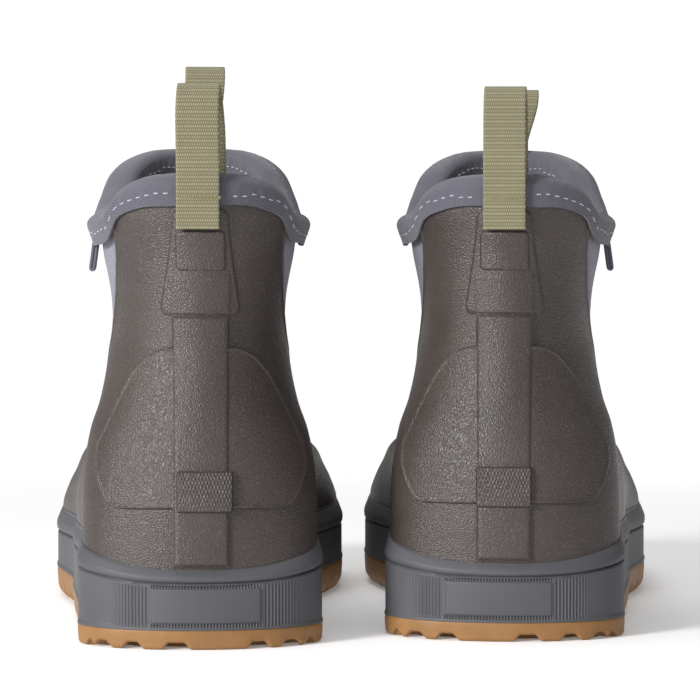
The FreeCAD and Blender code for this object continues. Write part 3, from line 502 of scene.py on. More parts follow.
def make_mottle():
    """Slow change of tone over a surface, from 0 to 1."""
    tree, nodes, given, put = group("uneven_tone", {"Patches per metre": 22.0}, ("Tone",))
    noise = nodes.noise(place_of(nodes), given[0], 4.0, Roughness=0.6)
    tree.links.new(nodes.remap(noise, 0.32, 0.68), put.inputs[0])
    return tree


def make_wear():
    """Rubbed edges: where the surface is sharply convex, broken up by noise; Foot is dust near the ground."""
    tree, nodes, given, put = group("rubbed_edges", {"From": 0.515, "To": 0.56}, ("Edge", "Foot"))
    point = nodes.add("NewGeometry").outputs["Pointiness"]
    noise = nodes.noise(place_of(nodes), 240.0, 3.0)
    ranged = nodes.add("MapRange", {"Value": point, "From Min": given[0], "From Max": given[1]})
    edge = nodes.math("MULTIPLY", ranged.outputs[0], nodes.remap(noise, 0.3, 0.6, 0.35, 1.0))
    tree.links.new(edge, put.inputs[0])
    height = nodes.add("SeparateXYZ", {0: place_of(nodes)}).outputs[2]
    low = nodes.remap(height, 0.0, 0.03, 1.0, 0.0)
    tree.links.new(nodes.math("MULTIPLY", low, nodes.remap(noise, 0.35, 0.7)), put.inputs[1])
    return tree


def make_weave():
    """Woven cloth on the piece's own flat map, in metres: rows of short floats, each row shifted by a share
    of a float, so that half is plain weave and a third is twill.  Height is the rounded top of each float
    and Thread is 1 on every second row."""
    inputs = {"Row": 0.0013, "Float": 0.00075, "Shift": 0.5}
    tree, nodes, given, put = group("woven_cloth", inputs, ("Height", "Thread"))
    flat = nodes.add("SeparateXYZ", {0: nodes.add("UVMap", uv_map="cloth").outputs[0]}).outputs
    rows = nodes.math("DIVIDE", flat[1], given[0])
    row = nodes.math("FLOOR", rows)
    floats = nodes.math("ADD", nodes.math("DIVIDE", flat[0], given[1]), nodes.math("MULTIPLY", row, given[2]))
    humps = []
    for value in (rows, floats):
        wave = nodes.math("SINE", nodes.math("MULTIPLY", nodes.math("FRACT", value), math.pi))
        humps.append(nodes.math("POWER", nodes.math("ABSOLUTE", wave), 0.6))
    tree.links.new(nodes.math("MULTIPLY", *humps), put.inputs[0])
    tree.links.new(nodes.math("PINGPONG", row, 1.0), put.inputs[1])
    return tree


GRAIN, TONE, WEAR, WEAVE = make_grain(), make_mottle(), make_wear(), make_weave()


def use(nodes, tree, **inputs):
    """Adds a node group with the given constants and returns its outputs."""
    node = nodes.tree.nodes.new("ShaderNodeGroup")
    node.node_tree = tree
    for name, value in inputs.items():
        node.inputs[name.replace("_", " ")].default_value = value
    return node.outputs


def start_finish(name, **constants):
    """A material whose shader already has its constant values; returns it, its nodes and its shader."""
    material = bpy.data.materials.new(name)
    material.use_nodes = True
    nodes = Nodes(material.node_tree)
    shader = material.node_tree.nodes["Principled BSDF"]
    for key, value in constants.items():
        shader.inputs[key.replace("_", " ")].default_value = value
    return material, nodes, shader


def link(nodes, shader, colour, rough, height, deep, strength):
    """Joins colour, roughness and a bump of the given depth in metres to the shader."""
    nodes.tree.links.new(colour, shader.inputs["Base Color"])
    nodes.tree.links.new(rough, shader.inputs["Roughness"])
    bump = nodes.add("Bump", {"Height": height, "Distance": deep, "Strength": strength})
    nodes.tree.links.new(bump.outputs[0], shader.inputs["Normal"])


def rgb(red, green, blue):
    return (red, green, blue, 1.0)


def rubber_finish(name, dark, light, worn, cells, rough, deep, specular, painted_glint=0.0, rubbed=0.45):
    """Rubber: uneven tone between dark and light, worn edges, pebbled bump, and scattered specks on the grain
    that are glossier and lightened as a painted highlight.
    """
    material, nodes, shader = start_finish(name, Specular_IOR_Level=specular)
    grain = use(nodes, GRAIN, Cells_per_metre=cells)
    tone = use(nodes, TONE, Patches_per_metre=26.0)
    wear = use(nodes, WEAR)
    body = nodes.mix(tone[0], dark, light)
    body = nodes.stain(wear[0], rubbed, body, worn)
    # painted highlight: the grain's specks are lightened towards the worn colour to stand in for sparkle of
    # light
    if painted_glint:
        body = nodes.stain(grain[1], painted_glint, body, worn)
    shine = nodes.remap(tone[0], 0.0, 1.0, rough, rough + 0.08)
    shine = nodes.math("ADD", shine, nodes.math("MULTIPLY", grain[1], -0.12))
    link(nodes, shader, body, shine, grain[0], deep, 0.9)
    return material


def gum_finish():
    """Gum rubber: warm tan, slightly cloudy, dusty at the very foot."""
    material, nodes, shader = start_finish("gum_rubber", Specular_IOR_Level=0.35)
    grain = use(nodes, GRAIN, Cells_per_metre=1500.0)
    tone = use(nodes, TONE, Patches_per_metre=60.0)
    wear = use(nodes, WEAR)
    body = nodes.mix(tone[0], rgb(0.232, 0.113, 0.036), rgb(0.27, 0.135, 0.045))
    body = nodes.stain(wear[0], 0.35, body, rgb(0.4, 0.21, 0.085))
    body = nodes.stain(wear[1], 0.12, body, rgb(0.2, 0.13, 0.08))
    link(nodes, shader, body, nodes.remap(tone[0], 0.0, 1.0, 0.48, 0.62), grain[0], 0.00006, 0.6)
    return material


def knit_finish(name, dark, light, sheen, rough=0.85):
    """Neoprene faced with fine knit: rows of tiny stitches, a soft sheen and slow change of tone."""
    material, nodes, shader = start_finish(
        name, Specular_IOR_Level=0.25, Sheen_Weight=sheen, Sheen_Roughness=0.5,
    )
    shader.inputs["Sheen Tint"].default_value = rgb(0.8, 0.8, 0.9)
    place = place_of(nodes)
    stretch = nodes.add("Mapping", {"Vector": place, "Scale": (1.0, 1.0, 1.8)})
    stitches = nodes.add("TexVoronoi", {"Vector": stretch.outputs[0], "Scale": 1300.0})
    fuzz = nodes.noise(place, 700.0, 5.0, Roughness=0.7)
    tone = use(nodes, TONE, Patches_per_metre=40.0)
    worn = use(nodes, WEAR, From=0.51, To=0.55)
    body = nodes.mix(tone[0], dark, light)
    body = nodes.stain(fuzz, 0.3, body, rgb(0.42, 0.42, 0.47))
    body = nodes.stain(worn[0], 0.3, body, rgb(0.5, 0.5, 0.55))
    height = nodes.math("ADD", stitches.outputs["Distance"], nodes.math("MULTIPLY", fuzz, 0.8))
    shine = nodes.remap(fuzz, 0.3, 0.7, rough - 0.08, rough + 0.08)
    link(nodes, shader, body, shine, height, 0.00018, 0.7)
    return material


def woven_finish(name, gap_shade_and_dark_yarn, threads, row, long_float, shift, deep, sheen, rough=0.8):
    """Woven cloth: painted shade in the gaps between floats against the yarn colour on their tops, two
    slightly different yarns and a little fuzz.
    """
    material, nodes, shader = start_finish(
        name, Specular_IOR_Level=0.25, Sheen_Weight=sheen, Sheen_Roughness=0.4,
    )
    weave = use(nodes, WEAVE, Row=row, Float=long_float, Shift=shift)
    tone = use(nodes, TONE, Patches_per_metre=90.0)
    fuzz = nodes.noise(place_of(nodes), 2500.0, 3.0)
    yarn = nodes.mix(nodes.math("MULTIPLY", weave[1], 0.25), threads, gap_shade_and_dark_yarn)
    # painted shade: the colour falls from the yarn on the float tops to the gap colour in the hollows,
    # following the weave's height
    body = nodes.mix(nodes.remap(weave[0], 0.15, 0.75), gap_shade_and_dark_yarn, yarn)
    body = nodes.stain(tone[0], 0.14, body, gap_shade_and_dark_yarn)
    height = nodes.math("ADD", weave[0], nodes.math("MULTIPLY", fuzz, 0.25))
    shine = nodes.remap(weave[0], 0.0, 1.0, rough + 0.1, rough - 0.06)
    link(nodes, shader, body, shine, height, deep, 1.0)
    return material


def thread_finish(name, colour, shade):
    """Sewing thread: a fine slanted twist along every stitch."""
    material, nodes, shader = start_finish(name, Specular_IOR_Level=0.4, Sheen_Weight=0.3)
    inputs = {"Vector": place_of(nodes), "Scale": 900.0, "Distortion": 1.5}
    twist = nodes.add("TexWave", inputs, bands_direction="DIAGONAL").outputs["Fac"]
    tone = use(nodes, TONE, Patches_per_metre=300.0)
    body = nodes.mix(twist, shade, colour)
    body = nodes.stain(tone[0], 0.2, body, shade)
    link(nodes, shader, body, nodes.remap(twist, 0.0, 1.0, 0.7, 0.5), twist, 0.0001, 0.6)
    return material


def board_finish():
    """Pressed fibre board: short pale fibres in a brown ground."""
    material, nodes, shader = start_finish("fibre_board", Specular_IOR_Level=0.2)
    fibres = nodes.noise(place_of(nodes), 500.0, 6.0, Distortion=2.0)
    tone = use(nodes, TONE, Patches_per_metre=30.0)
    body = nodes.mix(nodes.remap(fibres, 0.4, 0.65), rgb(0.2, 0.13, 0.08), rgb(0.42, 0.31, 0.2))
    body = nodes.stain(tone[0], 0.3, body, rgb(0.16, 0.1, 0.06))
    link(nodes, shader, body, nodes.remap(tone[0], 0, 1, 0.8, 0.92), fibres, 0.0002, 0.7)
    return material


def steel_finish():
    """Bright rolled steel with fine lines along the strip and a few stains."""
    material, nodes, shader = start_finish("rolled_steel", Metallic=1.0)
    lines = nodes.add("Mapping", {"Vector": place_of(nodes), "Scale": (3000.0, 40.0, 400.0)})
    noise = nodes.noise(lines.outputs[0], 1.0, 3.0)
    tone = use(nodes, TONE, Patches_per_metre=70.0)
    body = nodes.mix(tone[0], rgb(0.5, 0.5, 0.52), rgb(0.66, 0.66, 0.67))
    link(nodes, shader, body, nodes.remap(noise, 0.3, 0.7, 0.25, 0.45), noise, 0.00002, 0.5)
    return material


# brown rubber: its grain specks are lightened by 0.3 as a painted highlight
BROWN = rubber_finish(
    "brown_rubber", rgb(0.037, 0.028, 0.025), rgb(0.047, 0.036, 0.032), rgb(0.17, 0.145, 0.125),
    1800.0, 0.38, 0.00022, 0.5, 0.3, 0.3,
)
GREY = rubber_finish(
    "grey_rubber", rgb(0.066, 0.066, 0.073), rgb(0.076, 0.076, 0.084), rgb(0.2, 0.2, 0.22),
    2400.0, 0.52, 0.00003, 0.35, 0.0, 0.0,
)
GUM = gum_finish()
NEOPRENE = knit_finish("neoprene", rgb(0.125, 0.122, 0.150), rgb(0.155, 0.151, 0.184), 0.25)
# lining cloth: a darker knit than the neoprene outside, darkened further as painted shade for the inside of
# the collar and the boot
LINING_CLOTH = knit_finish("lining_cloth", rgb(0.055, 0.054, 0.068), rgb(0.075, 0.073, 0.092), 0.3)
# woven finishes: the first colour is the painted shade in the weave's gaps, also used for the darker yarn and
# tone; the second is the yarn
BINDING = woven_finish(
    "binding_cloth", rgb(0.058, 0.057, 0.071), rgb(0.135, 0.132, 0.16), 0.0005, 0.001, 0.34, 0.00014, 0.3,
)
WEBBING = woven_finish(
    "webbing", rgb(0.125, 0.113, 0.066), rgb(0.27, 0.25, 0.158), 0.0013, 0.0008, 0.5, 0.00016, 0.2,
)
THREAD = thread_finish("pale_thread", rgb(0.5, 0.5, 0.56), rgb(0.26, 0.26, 0.32))
KHAKI_THREAD = thread_finish("khaki_thread", rgb(0.3, 0.28, 0.13), rgb(0.11, 0.1, 0.045))
# the tag's first colour is likewise the painted shade in its weave's gaps
TAG_CLOTH = woven_finish(
    "tag_cloth", rgb(0.06, 0.06, 0.08), rgb(0.17, 0.17, 0.21), 0.0005, 0.0008, 0.5, 0.0001, 0.2,
)
FOOTBED_FOAM = knit_finish("footbed_cloth", rgb(0.05, 0.05, 0.055), rgb(0.075, 0.075, 0.085), 0.2)
FOAM = rubber_finish(
    "midsole_foam", rgb(0.55, 0.55, 0.52), rgb(0.62, 0.62, 0.6), rgb(0.75, 0.75, 0.72),
    700.0, 0.7, 0.0002, 0.2,
)
STIFF = rubber_finish(
    "stiffener_sheet", rgb(0.28, 0.27, 0.24), rgb(0.36, 0.35, 0.31), rgb(0.5, 0.48, 0.44),
    500.0, 0.65, 0.0001, 0.3,
)
BOARD = board_finish()
STEEL = steel_finish()


# ---------------------------------------------------------------- the sole


def around_places(count, *crowds):
    """Ways round the whole boot from -1 to 1 without the last, closer together near the crowds."""
    return crowded(-1.0, 1.0, count + 1, *crowds)[:-1]


def notches(across, along):
    """1 inside the bites out of the gum's lower edge: seven round the heel, then a row down each side."""
    cut = np.zeros(np.broadcast(across, along).shape)
    for centre, wide in ((-41.5, 4), (-36, 5), (-25, 6), (-9, 8.5), (21, 7), (33, 6), (41, 4)):
        edge = np.abs(across - centre) - wide / 2
        cut = np.maximum(cut, ease(1.0, 0.0, (edge + 1.7) / 3.0) * ease(1.0, 0.0, (along - 15) / 3))
    row = np.abs((along - 44 + 0.25 * np.abs(across)) % 15.0 - 7.5) - 2.6
    beside = ease(0.0, 1.0, (along - 34) / 4)
    return np.maximum(cut, ease(1.0, 0.0, (row + 0.8) / 1.6) * beside)


def tread(across, along, inset):
    """How deep the sole's underside is cut: the notches near the edge, slanted slots and a middle channel."""
    side = notches(across, along) * ease(1.0, 0.0, (inset - 9) / 1.5)
    lean = np.where(np.floor((along - 30) / 13) % 2 > 0, 0.32, -0.32)
    slot = np.abs((along - 34 + lean * across) % 13.0 - 6.5) - 1.6
    inner = ease(1.0, 0.0, (slot + 0.5) / 1.0) * ease(0.0, 1.0, (inset - 12) / 1.5)
    return TREAD_DEEP * np.maximum(side, inner)


def outsole(boot):
    """Gum sole.  Its side rises from a rounded, bitten lower edge to the rim; its underside runs in from
    that edge to the middle line and is cut by the tread; its upper face is hidden by the midsole."""
    way = around_places(560, (0.0, 0.16, 2.5))
    edge = sole(way, 0.0, 0.0)
    inward = sole_inward(way, edge)
    across, along = edge[:, 0], edge[:, 1]
    radius = Curve((0, 1.6), (60, 2.2), (110, 5.5), (LONG, 6.5))(along)
    lift = TREAD_DEEP * notches(across - middle(along), along)
    rim = GUM_TOP(along)
    columns = []
    for share in np.linspace(0.0, 1.0, 9):
        up = rim - (rim - lift - radius) * ease(0.0, 1.0, share)
        bulge = 0.25 * math.sin(math.pi * min(1.0, share * 1.3))
        columns.append((-bulge, up))
    for angle in np.linspace(0.0, math.pi / 2, 8)[1:]:
        columns.append((radius * (1 - math.cos(angle)), lift + radius * (1 - math.sin(angle))))
    rows = [edge + inward * np.reshape(inset, (-1, 1)) for inset, _ in columns]
    for row, (_, up) in zip(rows, columns):
        row[:, 2] = up
    start = rows[-1]
    spine = np.stack([middle(along), np.clip(along, 36, LONG - 58)], -1)
    reach = np.linalg.norm(spine - start[:, :2], axis=-1)
    above_tread = start[:, 2] - tread(start[:, 0] - middle(along), along, radius)
    for share in np.linspace(0.0, 1.0, 56)[1:]:
        flat = start[:, :2] + (spine - start[:, :2]) * share
        inset = radius + reach * share
        up = tread(flat[:, 0] - middle(flat[:, 1]), flat[:, 1], inset)
        up = np.where(share < 1, up, 0.0) + above_tread * (1 - share) ** 8
        rows.append(np.column_stack([flat, np.maximum(up, 0.0)]))
    for inset, up in ((2.0, rim), (6.0, rim), (6.2, MIDSOLE_REST)):
        upper = sole(way, 0.0, inset)
        upper[:, 2] = up
        rows.insert(0, upper)
    rows.insert(0, np.column_stack([spine, np.full(len(way), MIDSOLE_REST)]))
    weld(boot.piece("outsole_gum", ring(np.stack(rows, 1), closed=False), GUM, ["outsole"], smooth=50))


def weld(thing):
    """Joins the points that lie on each other, along the middle line of the sole."""
    mesh = bmesh.new()
    mesh.from_mesh(thing.data)
    bmesh.ops.remove_doubles(mesh, verts=mesh.verts, dist=1e-5)
    bmesh.ops.dissolve_degenerate(mesh, edges=mesh.edges, dist=1e-7)
    mesh.to_mesh(thing.data)
    mesh.free()


def sidewall(boot):
    """Grey wall.  Its outer face is worked out as an inset for every height: a lip at the foot, fine upright
    ribs beside the heel plate that fade outwards, two rows of ticks, a groove that is double at the back,
    and above it a bead that rolls in to meet the upper."""
    way = around_places(860, (0.0, 0.13, 7.0))
    edge = sole(way, 0.0, 0.0)
    along, across = edge[:, 1], edge[:, 0]
    low, high = GUM_TOP(along) + 0.05, WALL_TOP(along)
    groove = high - GROOVE_DROP(along)
    face = crowded(0.0, 1.0, 52, (0.03, 0.05, 2.0), (0.16, 0.05, 1.5), (0.84, 0.09, 2.5))
    bead = np.linspace(0.0, 1.0, 12)[1:]
    up = np.concatenate([
        low[:, None] + (groove - low)[:, None] * face[None, :],
        groove[:, None] + (high - groove)[:, None] * bead[None, :] ** 0.9,
    ], 1)
    at_back = ease(1.0, 0.0, (along - 20) / 14)[:, None]
    beside = np.abs(across - PLATE_OFFSET)[:, None]
    arc = HEEL_RADIUS * np.arcsin(np.clip((across - PLATE_OFFSET) / 50.0, -1, 1))[:, None]
    lip = -0.45 * bell(up - low[:, None], 1.3, 4)
    lines = 0.95 * bell(up - groove[:, None], 0.36)
    second = groove[:, None] - 1.35 * np.clip(1 - (across[:, None] / 40.0) ** 2, 0, 1) * (at_back > 0)
    lines += 0.5 * bell(up - second, 0.34) * at_back
    ribs = 0.5 - 0.5 * np.cos(2 * math.pi * arc / RIB_PITCH)
    reach = ease(0.0, 1.0, (beside - PLATE_HALF - 0.6) / 0.5) * ease(1.0, 0.0, (beside - 27) / 12) * at_back
    tall = ease(0.0, 1.0, (up - PLATE_LOW + 1.6) / 0.6) * ease(1.0, 0.0, (up - groove[:, None] + 1.9) / 0.8)
    tick = 0.5 - 0.5 * np.cos(2 * math.pi * arc / TICK_PITCH)
    marks = bell(up - PLATE_LOW + 0.75, 0.75, 4)
    marks += bell(up - PLATE_LOW - PLATE_TALL - 0.55, 0.62, 4)
    ticks = tick * marks * ease(1.0, 0.0, (beside - PLATE_HALF) / 0.4) * at_back
    over = np.clip((up - groove[:, None]) / (high - groove)[:, None], 0, 1)
    roll = 3.2 * (1 - np.sqrt(1 - np.clip((over - 0.25) / 0.75, 0, 1) ** 2))
    roll -= 0.5 * np.sin(math.pi * np.clip(over * 1.6, 0, 1))
    inset = np.clip(lip + lines + 0.5 * ribs * reach * tall + 0.6 * ticks + roll, -0.5, 4.5)
    outer = sole(way[:, None], up, 0.0)
    inward = sole_inward(way, edge)
    outer = outer + inward[:, None, :] * inset[..., None]
    meet = layer(way, high, -GAP - 0.05)
    room = np.linalg.norm(meet[:, :2] - edge[:, :2], axis=-1)
    share = np.clip(inset / np.maximum(room, 0.1)[:, None], 0, 1)
    blend = np.clip((over - 0.55) / 0.45, 0, 1) ** 2
    outer[..., :2] += (meet[:, None, :2] - outer[..., :2]) * (blend * (1 - share) * 0.6)[..., None]
    inner = [layer(way, high - 0.4, -GAP)]
    inner += [layer(way, INSIDE_LOW + (high - INSIDE_LOW) * part, -GAP) for part in (0.66, 0.33, 0.0)]
    foot = sole(way, 0.0, 5.9)
    foot[:, 2] = low
    grid = np.concatenate([outer, np.stack(inner + [foot], 1)], 1)
    boot.piece("sidewall_rubber", ring(grid), GREY, ["sidewall"], smooth=60)


def heel_plate(boot):
    """Plain plate on the back of the wall: a rounded rectangle carried round the heel's curve."""
    across = PLATE_OFFSET + PLATE_HALF * crowded(-1.0, 1.0, 90, (-1.0, 0.04, 6.0), (1.0, 0.04, 6.0))[:, None]
    up = PLATE_LOW + PLATE_TALL * crowded(0.0, 1.0, 44, (0.0, 0.06, 5.0), (1.0, 0.06, 5.0))[None, :]
    across, up = np.broadcast_arrays(across, up)
    back = 27 * (1 - np.sqrt(1 - (across / HEEL_RADIUS) ** 2))
    surface = np.stack([across, back, up], -1)
    away = border_distance(surface, 0.9)
    proud = 0.62 * rounding(away, 0.8) * (away > 0) + 0.05 * np.cos(across / 12.0) - 0.12
    outer = surface - np.stack([0 * proud, proud, 0 * proud], -1)
    inner = surface + np.array([0.0, 1.2, 0.0])
    boot.piece("heel_plate_rubber", plate(outer, inner), GREY, ["heel_plate"])


def footbed(boot):
    """Loose footbed: its outline lies inside the lining; a cupped rim and a soft arch are raised on it."""
    way = around_places(240)
    shares = np.concatenate([np.linspace(0.0, 0.9, 30), [0.95, 0.985, 1.0]])
    rim = layer(way, FOOTBED_RIM, LINING_INNER + 1.8)
    spine = np.stack([middle(rim[:, 1]), np.clip(rim[:, 1], 36, LONG - 62)], -1)
    flat = spine[:, None, :] + (rim[:, None, :2] - spine[:, None, :]) * shares[None, :, None]
    cup = 1.1 * ease(0.0, 1.0, (shares[None, :] - 0.55) / 0.4) * ease(1.0, 0.3, (flat[..., 1] - 70) / 60)
    arch = 0.9 * bell(flat[..., 1] - 120, 40) * ease(0.0, 1.0, (flat[..., 0] - 4) / 22)
    drop = 1.4 * (1 - np.sqrt(1 - np.clip((shares[None, :] - 0.93) / 0.07, 0, 1) ** 2))
    top = np.concatenate([flat, (FOOTBED_TOP + np.minimum(cup + arch, 1.4) - drop)[..., None]], -1)
    under = top[:, ::-1].copy()
    under[..., 2] = FOOTBED_LOW
    surface = ring(np.concatenate([top, under], 1), closed=False)
    thing = boot.piece("footbed_pad", surface, FOOTBED_FOAM, ["footbed"])
    weld(thing)


# ---------------------------------------------------------------- the upper


def upper_ends(along):
    """The lower and upper edge of the brown rubber."""
    return UPPER_LOW, COLLAR_TOP(along) - COLLAR_TUCK


def rear_quarter(boot):
    """Brown rubber round the heel: its free edges are rounded over, and beside the stretch panels they
    stand up as a narrow bead."""
    def way_ends(up):
        way = way_at(WINDOW_REAR(up) + ease(1.6, 0.0, (up - 84) / 14), up)
        return -way, way

    across = crowded(0.0, 1.0, 170, (0.0, 0.03, 5.0), (1.0, 0.03, 5.0))
    upward = np.linspace(0.0, 1.0, 170)
    way, up = panel(way_ends, upper_ends, across, upward)
    away = np.minimum(border_distance(skin(way, up), 0.1), 50)
    bead = 0.35 * bell(away - 1.4, 0.9) * (up > 60)
    depth = 1.2 * (1 - rounding(away, 1.3)) - bead
    outer = layer(way, up, np.where((up < 26) | (away > 8), 0.0, depth))
    inner = layer(way, up, RUBBER)
    boot.piece("rear_quarter_rubber", plate(outer, inner), BROWN, ["rear_quarter"])


def vamp(boot):
    """Brown rubber over the forefoot and up the front.  Its rear edges run under the rear quarter, a
    shallow crease crosses the instep where the boot bends."""
    def way_ends(up):
        tuck = ease(3.0, 0.0, (up - 88) / 12)
        way = way_at(WINDOW_FRONT(up) - tuck, up)
        return way, 2 - way

    across = crowded(0.0, 1.0, 190, (0.0, 0.02, 5.0), (1.0, 0.02, 5.0))
    upward = front_levels(UPPER_LOW, COLLAR_FRONT - COLLAR_TUCK, 150)
    way, up = panel(way_ends, upper_ends, across, upward)
    points = skin(way, up)
    away = border_distance(points, 0.1)
    under = ease(0.95, 0.0, (away - 3.2) / 4.5) * ease(1.0, 0.0, (up - 88) / 12)
    free = (1.2 * (1 - rounding(away, 1.3)) - 0.35 * bell(away - 1.4, 0.9)) * ease(0.0, 1.0, (up - 92) / 8)
    crease = 0.8 * bell(up - 97 - 0.0072 * (points[..., 0] - 2) ** 2, 7.0)
    crease *= ease(0.0, 1.0, (points[..., 1] - 118) / 20)
    crease += 0.5 * bell(up - 112, 5.0) * ease(0.0, 1.0, (points[..., 1] - 112) / 14)
    depth = np.where(away < 9, np.maximum(under, free * (away < 8)), 0.0) + crease
    outer = layer(way, up, depth)
    inner = layer(way, up, RUBBER + crease)
    boot.piece("vamp_rubber", plate(outer, inner), BROWN, ["vamp"])


def raised(boot, label, half, low, high, thick, rim, base=0.0, centre=0.0, corner=1.5, size=(70, 70),
           texture=None, offset=0.0, bead=0.0):
    """A moulded patch over the middle of the back (centre 0) or front (centre 1), half(up) wide each way, or
    half where that is a number: it stands thick proud of base, with a rounded rim, rounded corners and,
    where asked, a bead along its border and a texture(across, up)."""
    across = crowded(-1.0, 1.0, size[0], (-1.0, 0.08, 4.0), (1.0, 0.08, 4.0))[:, None]
    up = low + (high - low) * crowded(0.0, 1.0, size[1], (0.0, 0.05, 4.0), (1.0, 0.05, 4.0))[None, :]
    across, up = np.broadcast_arrays(across, up)
    reach = (half(up) if callable(half) else half) * across + offset
    way = centre + np.sign(reach) * way_across(np.abs(reach), up, centre) * (1 if centre == 0 else -1)
    away = border_distance(skin(way, up), corner)
    inside = ease(0.0, 1.0, away / rim) ** 0.75
    proud = base - 0.25 + (thick + 0.25) * inside + bead * bell(away - 1.7, 0.9)
    if texture is not None:
        proud = proud + texture(reach, up) * ease(0.0, 1.0, (away - 0.7) / 0.5)
    outer = layer(way, up, -proud)
    inner = layer(way, up, -base + 0.6)
    boot.piece(f"{label}_rubber", plate(outer, inner), BROWN, [label], smooth=60)


def heel_panel(boot):
    """The leaf-shaped panel round the heel."""
    half = Curve(
        (50.7, 30), (51.8, 32.8), (54, 35.0), (60, 37.6), (66, 38.6), (71, 38.2), (77.5, 35.7), (85, 32.2),
        (93, 28.4), (100, 24.5), (106, 19.2), (109.3, 13),
    )
    raised(boot, "heel_panel", half, 50.7, 109.3, 1.15, 1.1, corner=3.0, size=(120, 120), bead=0.35)


def back_band(boot):
    """The band up the middle of the back."""
    raised(boot, "back_band", BAND_HALF, 29.7, 121.0, 1.0, 1.9, base=0.9, corner=0.6, size=(44, 150))


def kick_tab(boot):
    """The ledge is covered with small upright lozenges, each row shifted by half a lozenge."""
    def lozenges(across, up):
        fade = ease(0.35, 1.0, (up - 50.0) / 9.0)
        return 0.32 * fade * np.clip(
            np.cos(2 * math.pi * across / 1.15) * np.cos(math.pi * (up - 49.6) / 1.54), -0.25, 1.0,
        )

    raised(
        boot, "kick_tab", BAND_HALF - 0.3, 49.6, 64.7, 1.5, 1.0, base=2.0, corner=1.2,
        size=(136, 96), texture=lozenges, offset=1.2 if boot.hand > 0 else 0.0,
    )


def rear_loop_patch(boot):
    """The band's own relief runs on under this patch as far as the pad."""
    def band(across, up):
        return 0.4 * ease(0.0, 1.0, (BAND_HALF + 0.8 - np.abs(across)) / 1.6) * ease(1.0, 0.0, (up - 134) / 4)

    half = Curve((120.5, 15.5), (150, 11.4), (160, 10.6))
    raised(boot, "rear_loop_patch", half, 120.0, 160.5, 0.75, 2.0, corner=4.5, size=(90, 90), texture=band)


def rear_loop_pad(boot):
    """The bump over the sewn-in webbing."""
    raised(boot, "rear_loop_pad", 9.3, 136.4, 152.2, 0.85, 1.6, base=0.7, corner=2.5, size=(60, 60))


def front_loop_patch(boot):
    """The patch under the front loop."""
    half = Curve((130, 15.0), (165, 11.5))
    raised(boot, "front_loop_patch", half, 136.0, 169.5, 0.85, 1.3, centre=1.0, corner=3.5, size=(70, 80))


def toe_cap(boot):
    """Bumper over the toe: a sheet proud of the vamp that rounds down to it at its top and rear."""
    def way_ends(up):
        way = way_at(LONG - 46 - 0.25 * (up - 40), up)
        return way, 2 - way

    across = crowded(0.0, 1.0, 120, (0.0, 0.03, 4.0), (1.0, 0.03, 4.0))
    upward = crowded(0.0, 1.0, 70, (1.0, 0.06, 4.0))
    way, up = panel(way_ends, lambda along: (30.0, 58.0), across, upward)
    away = border_distance(skin(way, up), 2.5)
    outer = layer(way, up, 0.3 - 1.6 * ease(0.0, 1.0, away / 2.4) ** 0.75)
    boot.piece("toe_cap_rubber", plate(outer, layer(way, up, 0.6)), BROWN, ["toe_cap"])


def gusset(boot, label, side):
    """Stretch panel: a plate under the rubber's edges that swells a little in the open window."""
    def way_ends(up):
        return side * way_at(WINDOW_REAR(up) - 3, up), side * way_at(WINDOW_FRONT(up) + 3, up)

    across, upward = np.linspace(0.0, 1.0, 60), np.linspace(0.0, 1.0, 90)
    way, up = panel(way_ends, lambda along: (98.0, COLLAR_TOP(along) - 3.0), across, upward)
    away = border_distance(skin(way, up), 3.0)
    outer = layer(way, up, CLOTH_OUTER - 1.3 * ease(0.0, 1.0, (away - 3.5) / 12.0))
    inner = layer(way, up, CLOTH_OUTER + STIFFENER)
    boot.piece(f"{label}_neoprene", plate(outer, inner), NEOPRENE, [label])


# ---------------------------------------------------------------- the inside and the collar


def lining(boot):
    """Neoprene lining: a closed wall round the inside of the boot, between two depths."""
    way = around_places(240, (0.0, 0.2, 1.0))
    upward = front_levels(INSIDE_LOW, COLLAR_FRONT - COLLAR_TUCK, 60)
    top = COLLAR_TOP(skin(way, 160.0)[:, 1]) - 4.2
    up = INSIDE_LOW + (top - INSIDE_LOW)[:, None] * upward[None, :]
    outer = layer(way[:, None], up, LINING_OUTER)
    inner = layer(way[:, None], up[:, ::-1], LINING_INNER)
    boot.piece("lining_neoprene", ring(np.concatenate([outer, inner], 1)), LINING_CLOTH, ["lining"])


def collar_padding(boot):
    """Foam ring inside the collar, sewn flat at its lower edge: its section is a half lens."""
    way = around_places(240)
    share = np.linspace(0.0, 1.0, 26)
    top = collar_at(way)[:, None]
    tall = 33.5
    up = top - 36 + tall * share[None, :]
    soft = 0.35 * np.sin(9 * math.pi * way)[:, None] * np.sin(math.pi * share)[None, :]
    puff = PADDING * rounding(share * tall, 11.0)[None, :] * rounding((1 - share) * tall, 3.0)[None, :]
    inner = layer(way[:, None], up, PADDING_OUTER + 0.15 + puff * (1 + 0.1 * soft))
    outer = layer(way[:, None], up[:, ::-1], PADDING_OUTER)
    surface = ring(np.concatenate([inner, outer], 1))
    thing = boot.piece("collar_padding_neoprene", surface, LINING_CLOTH, ["collar_padding"], smooth=70)


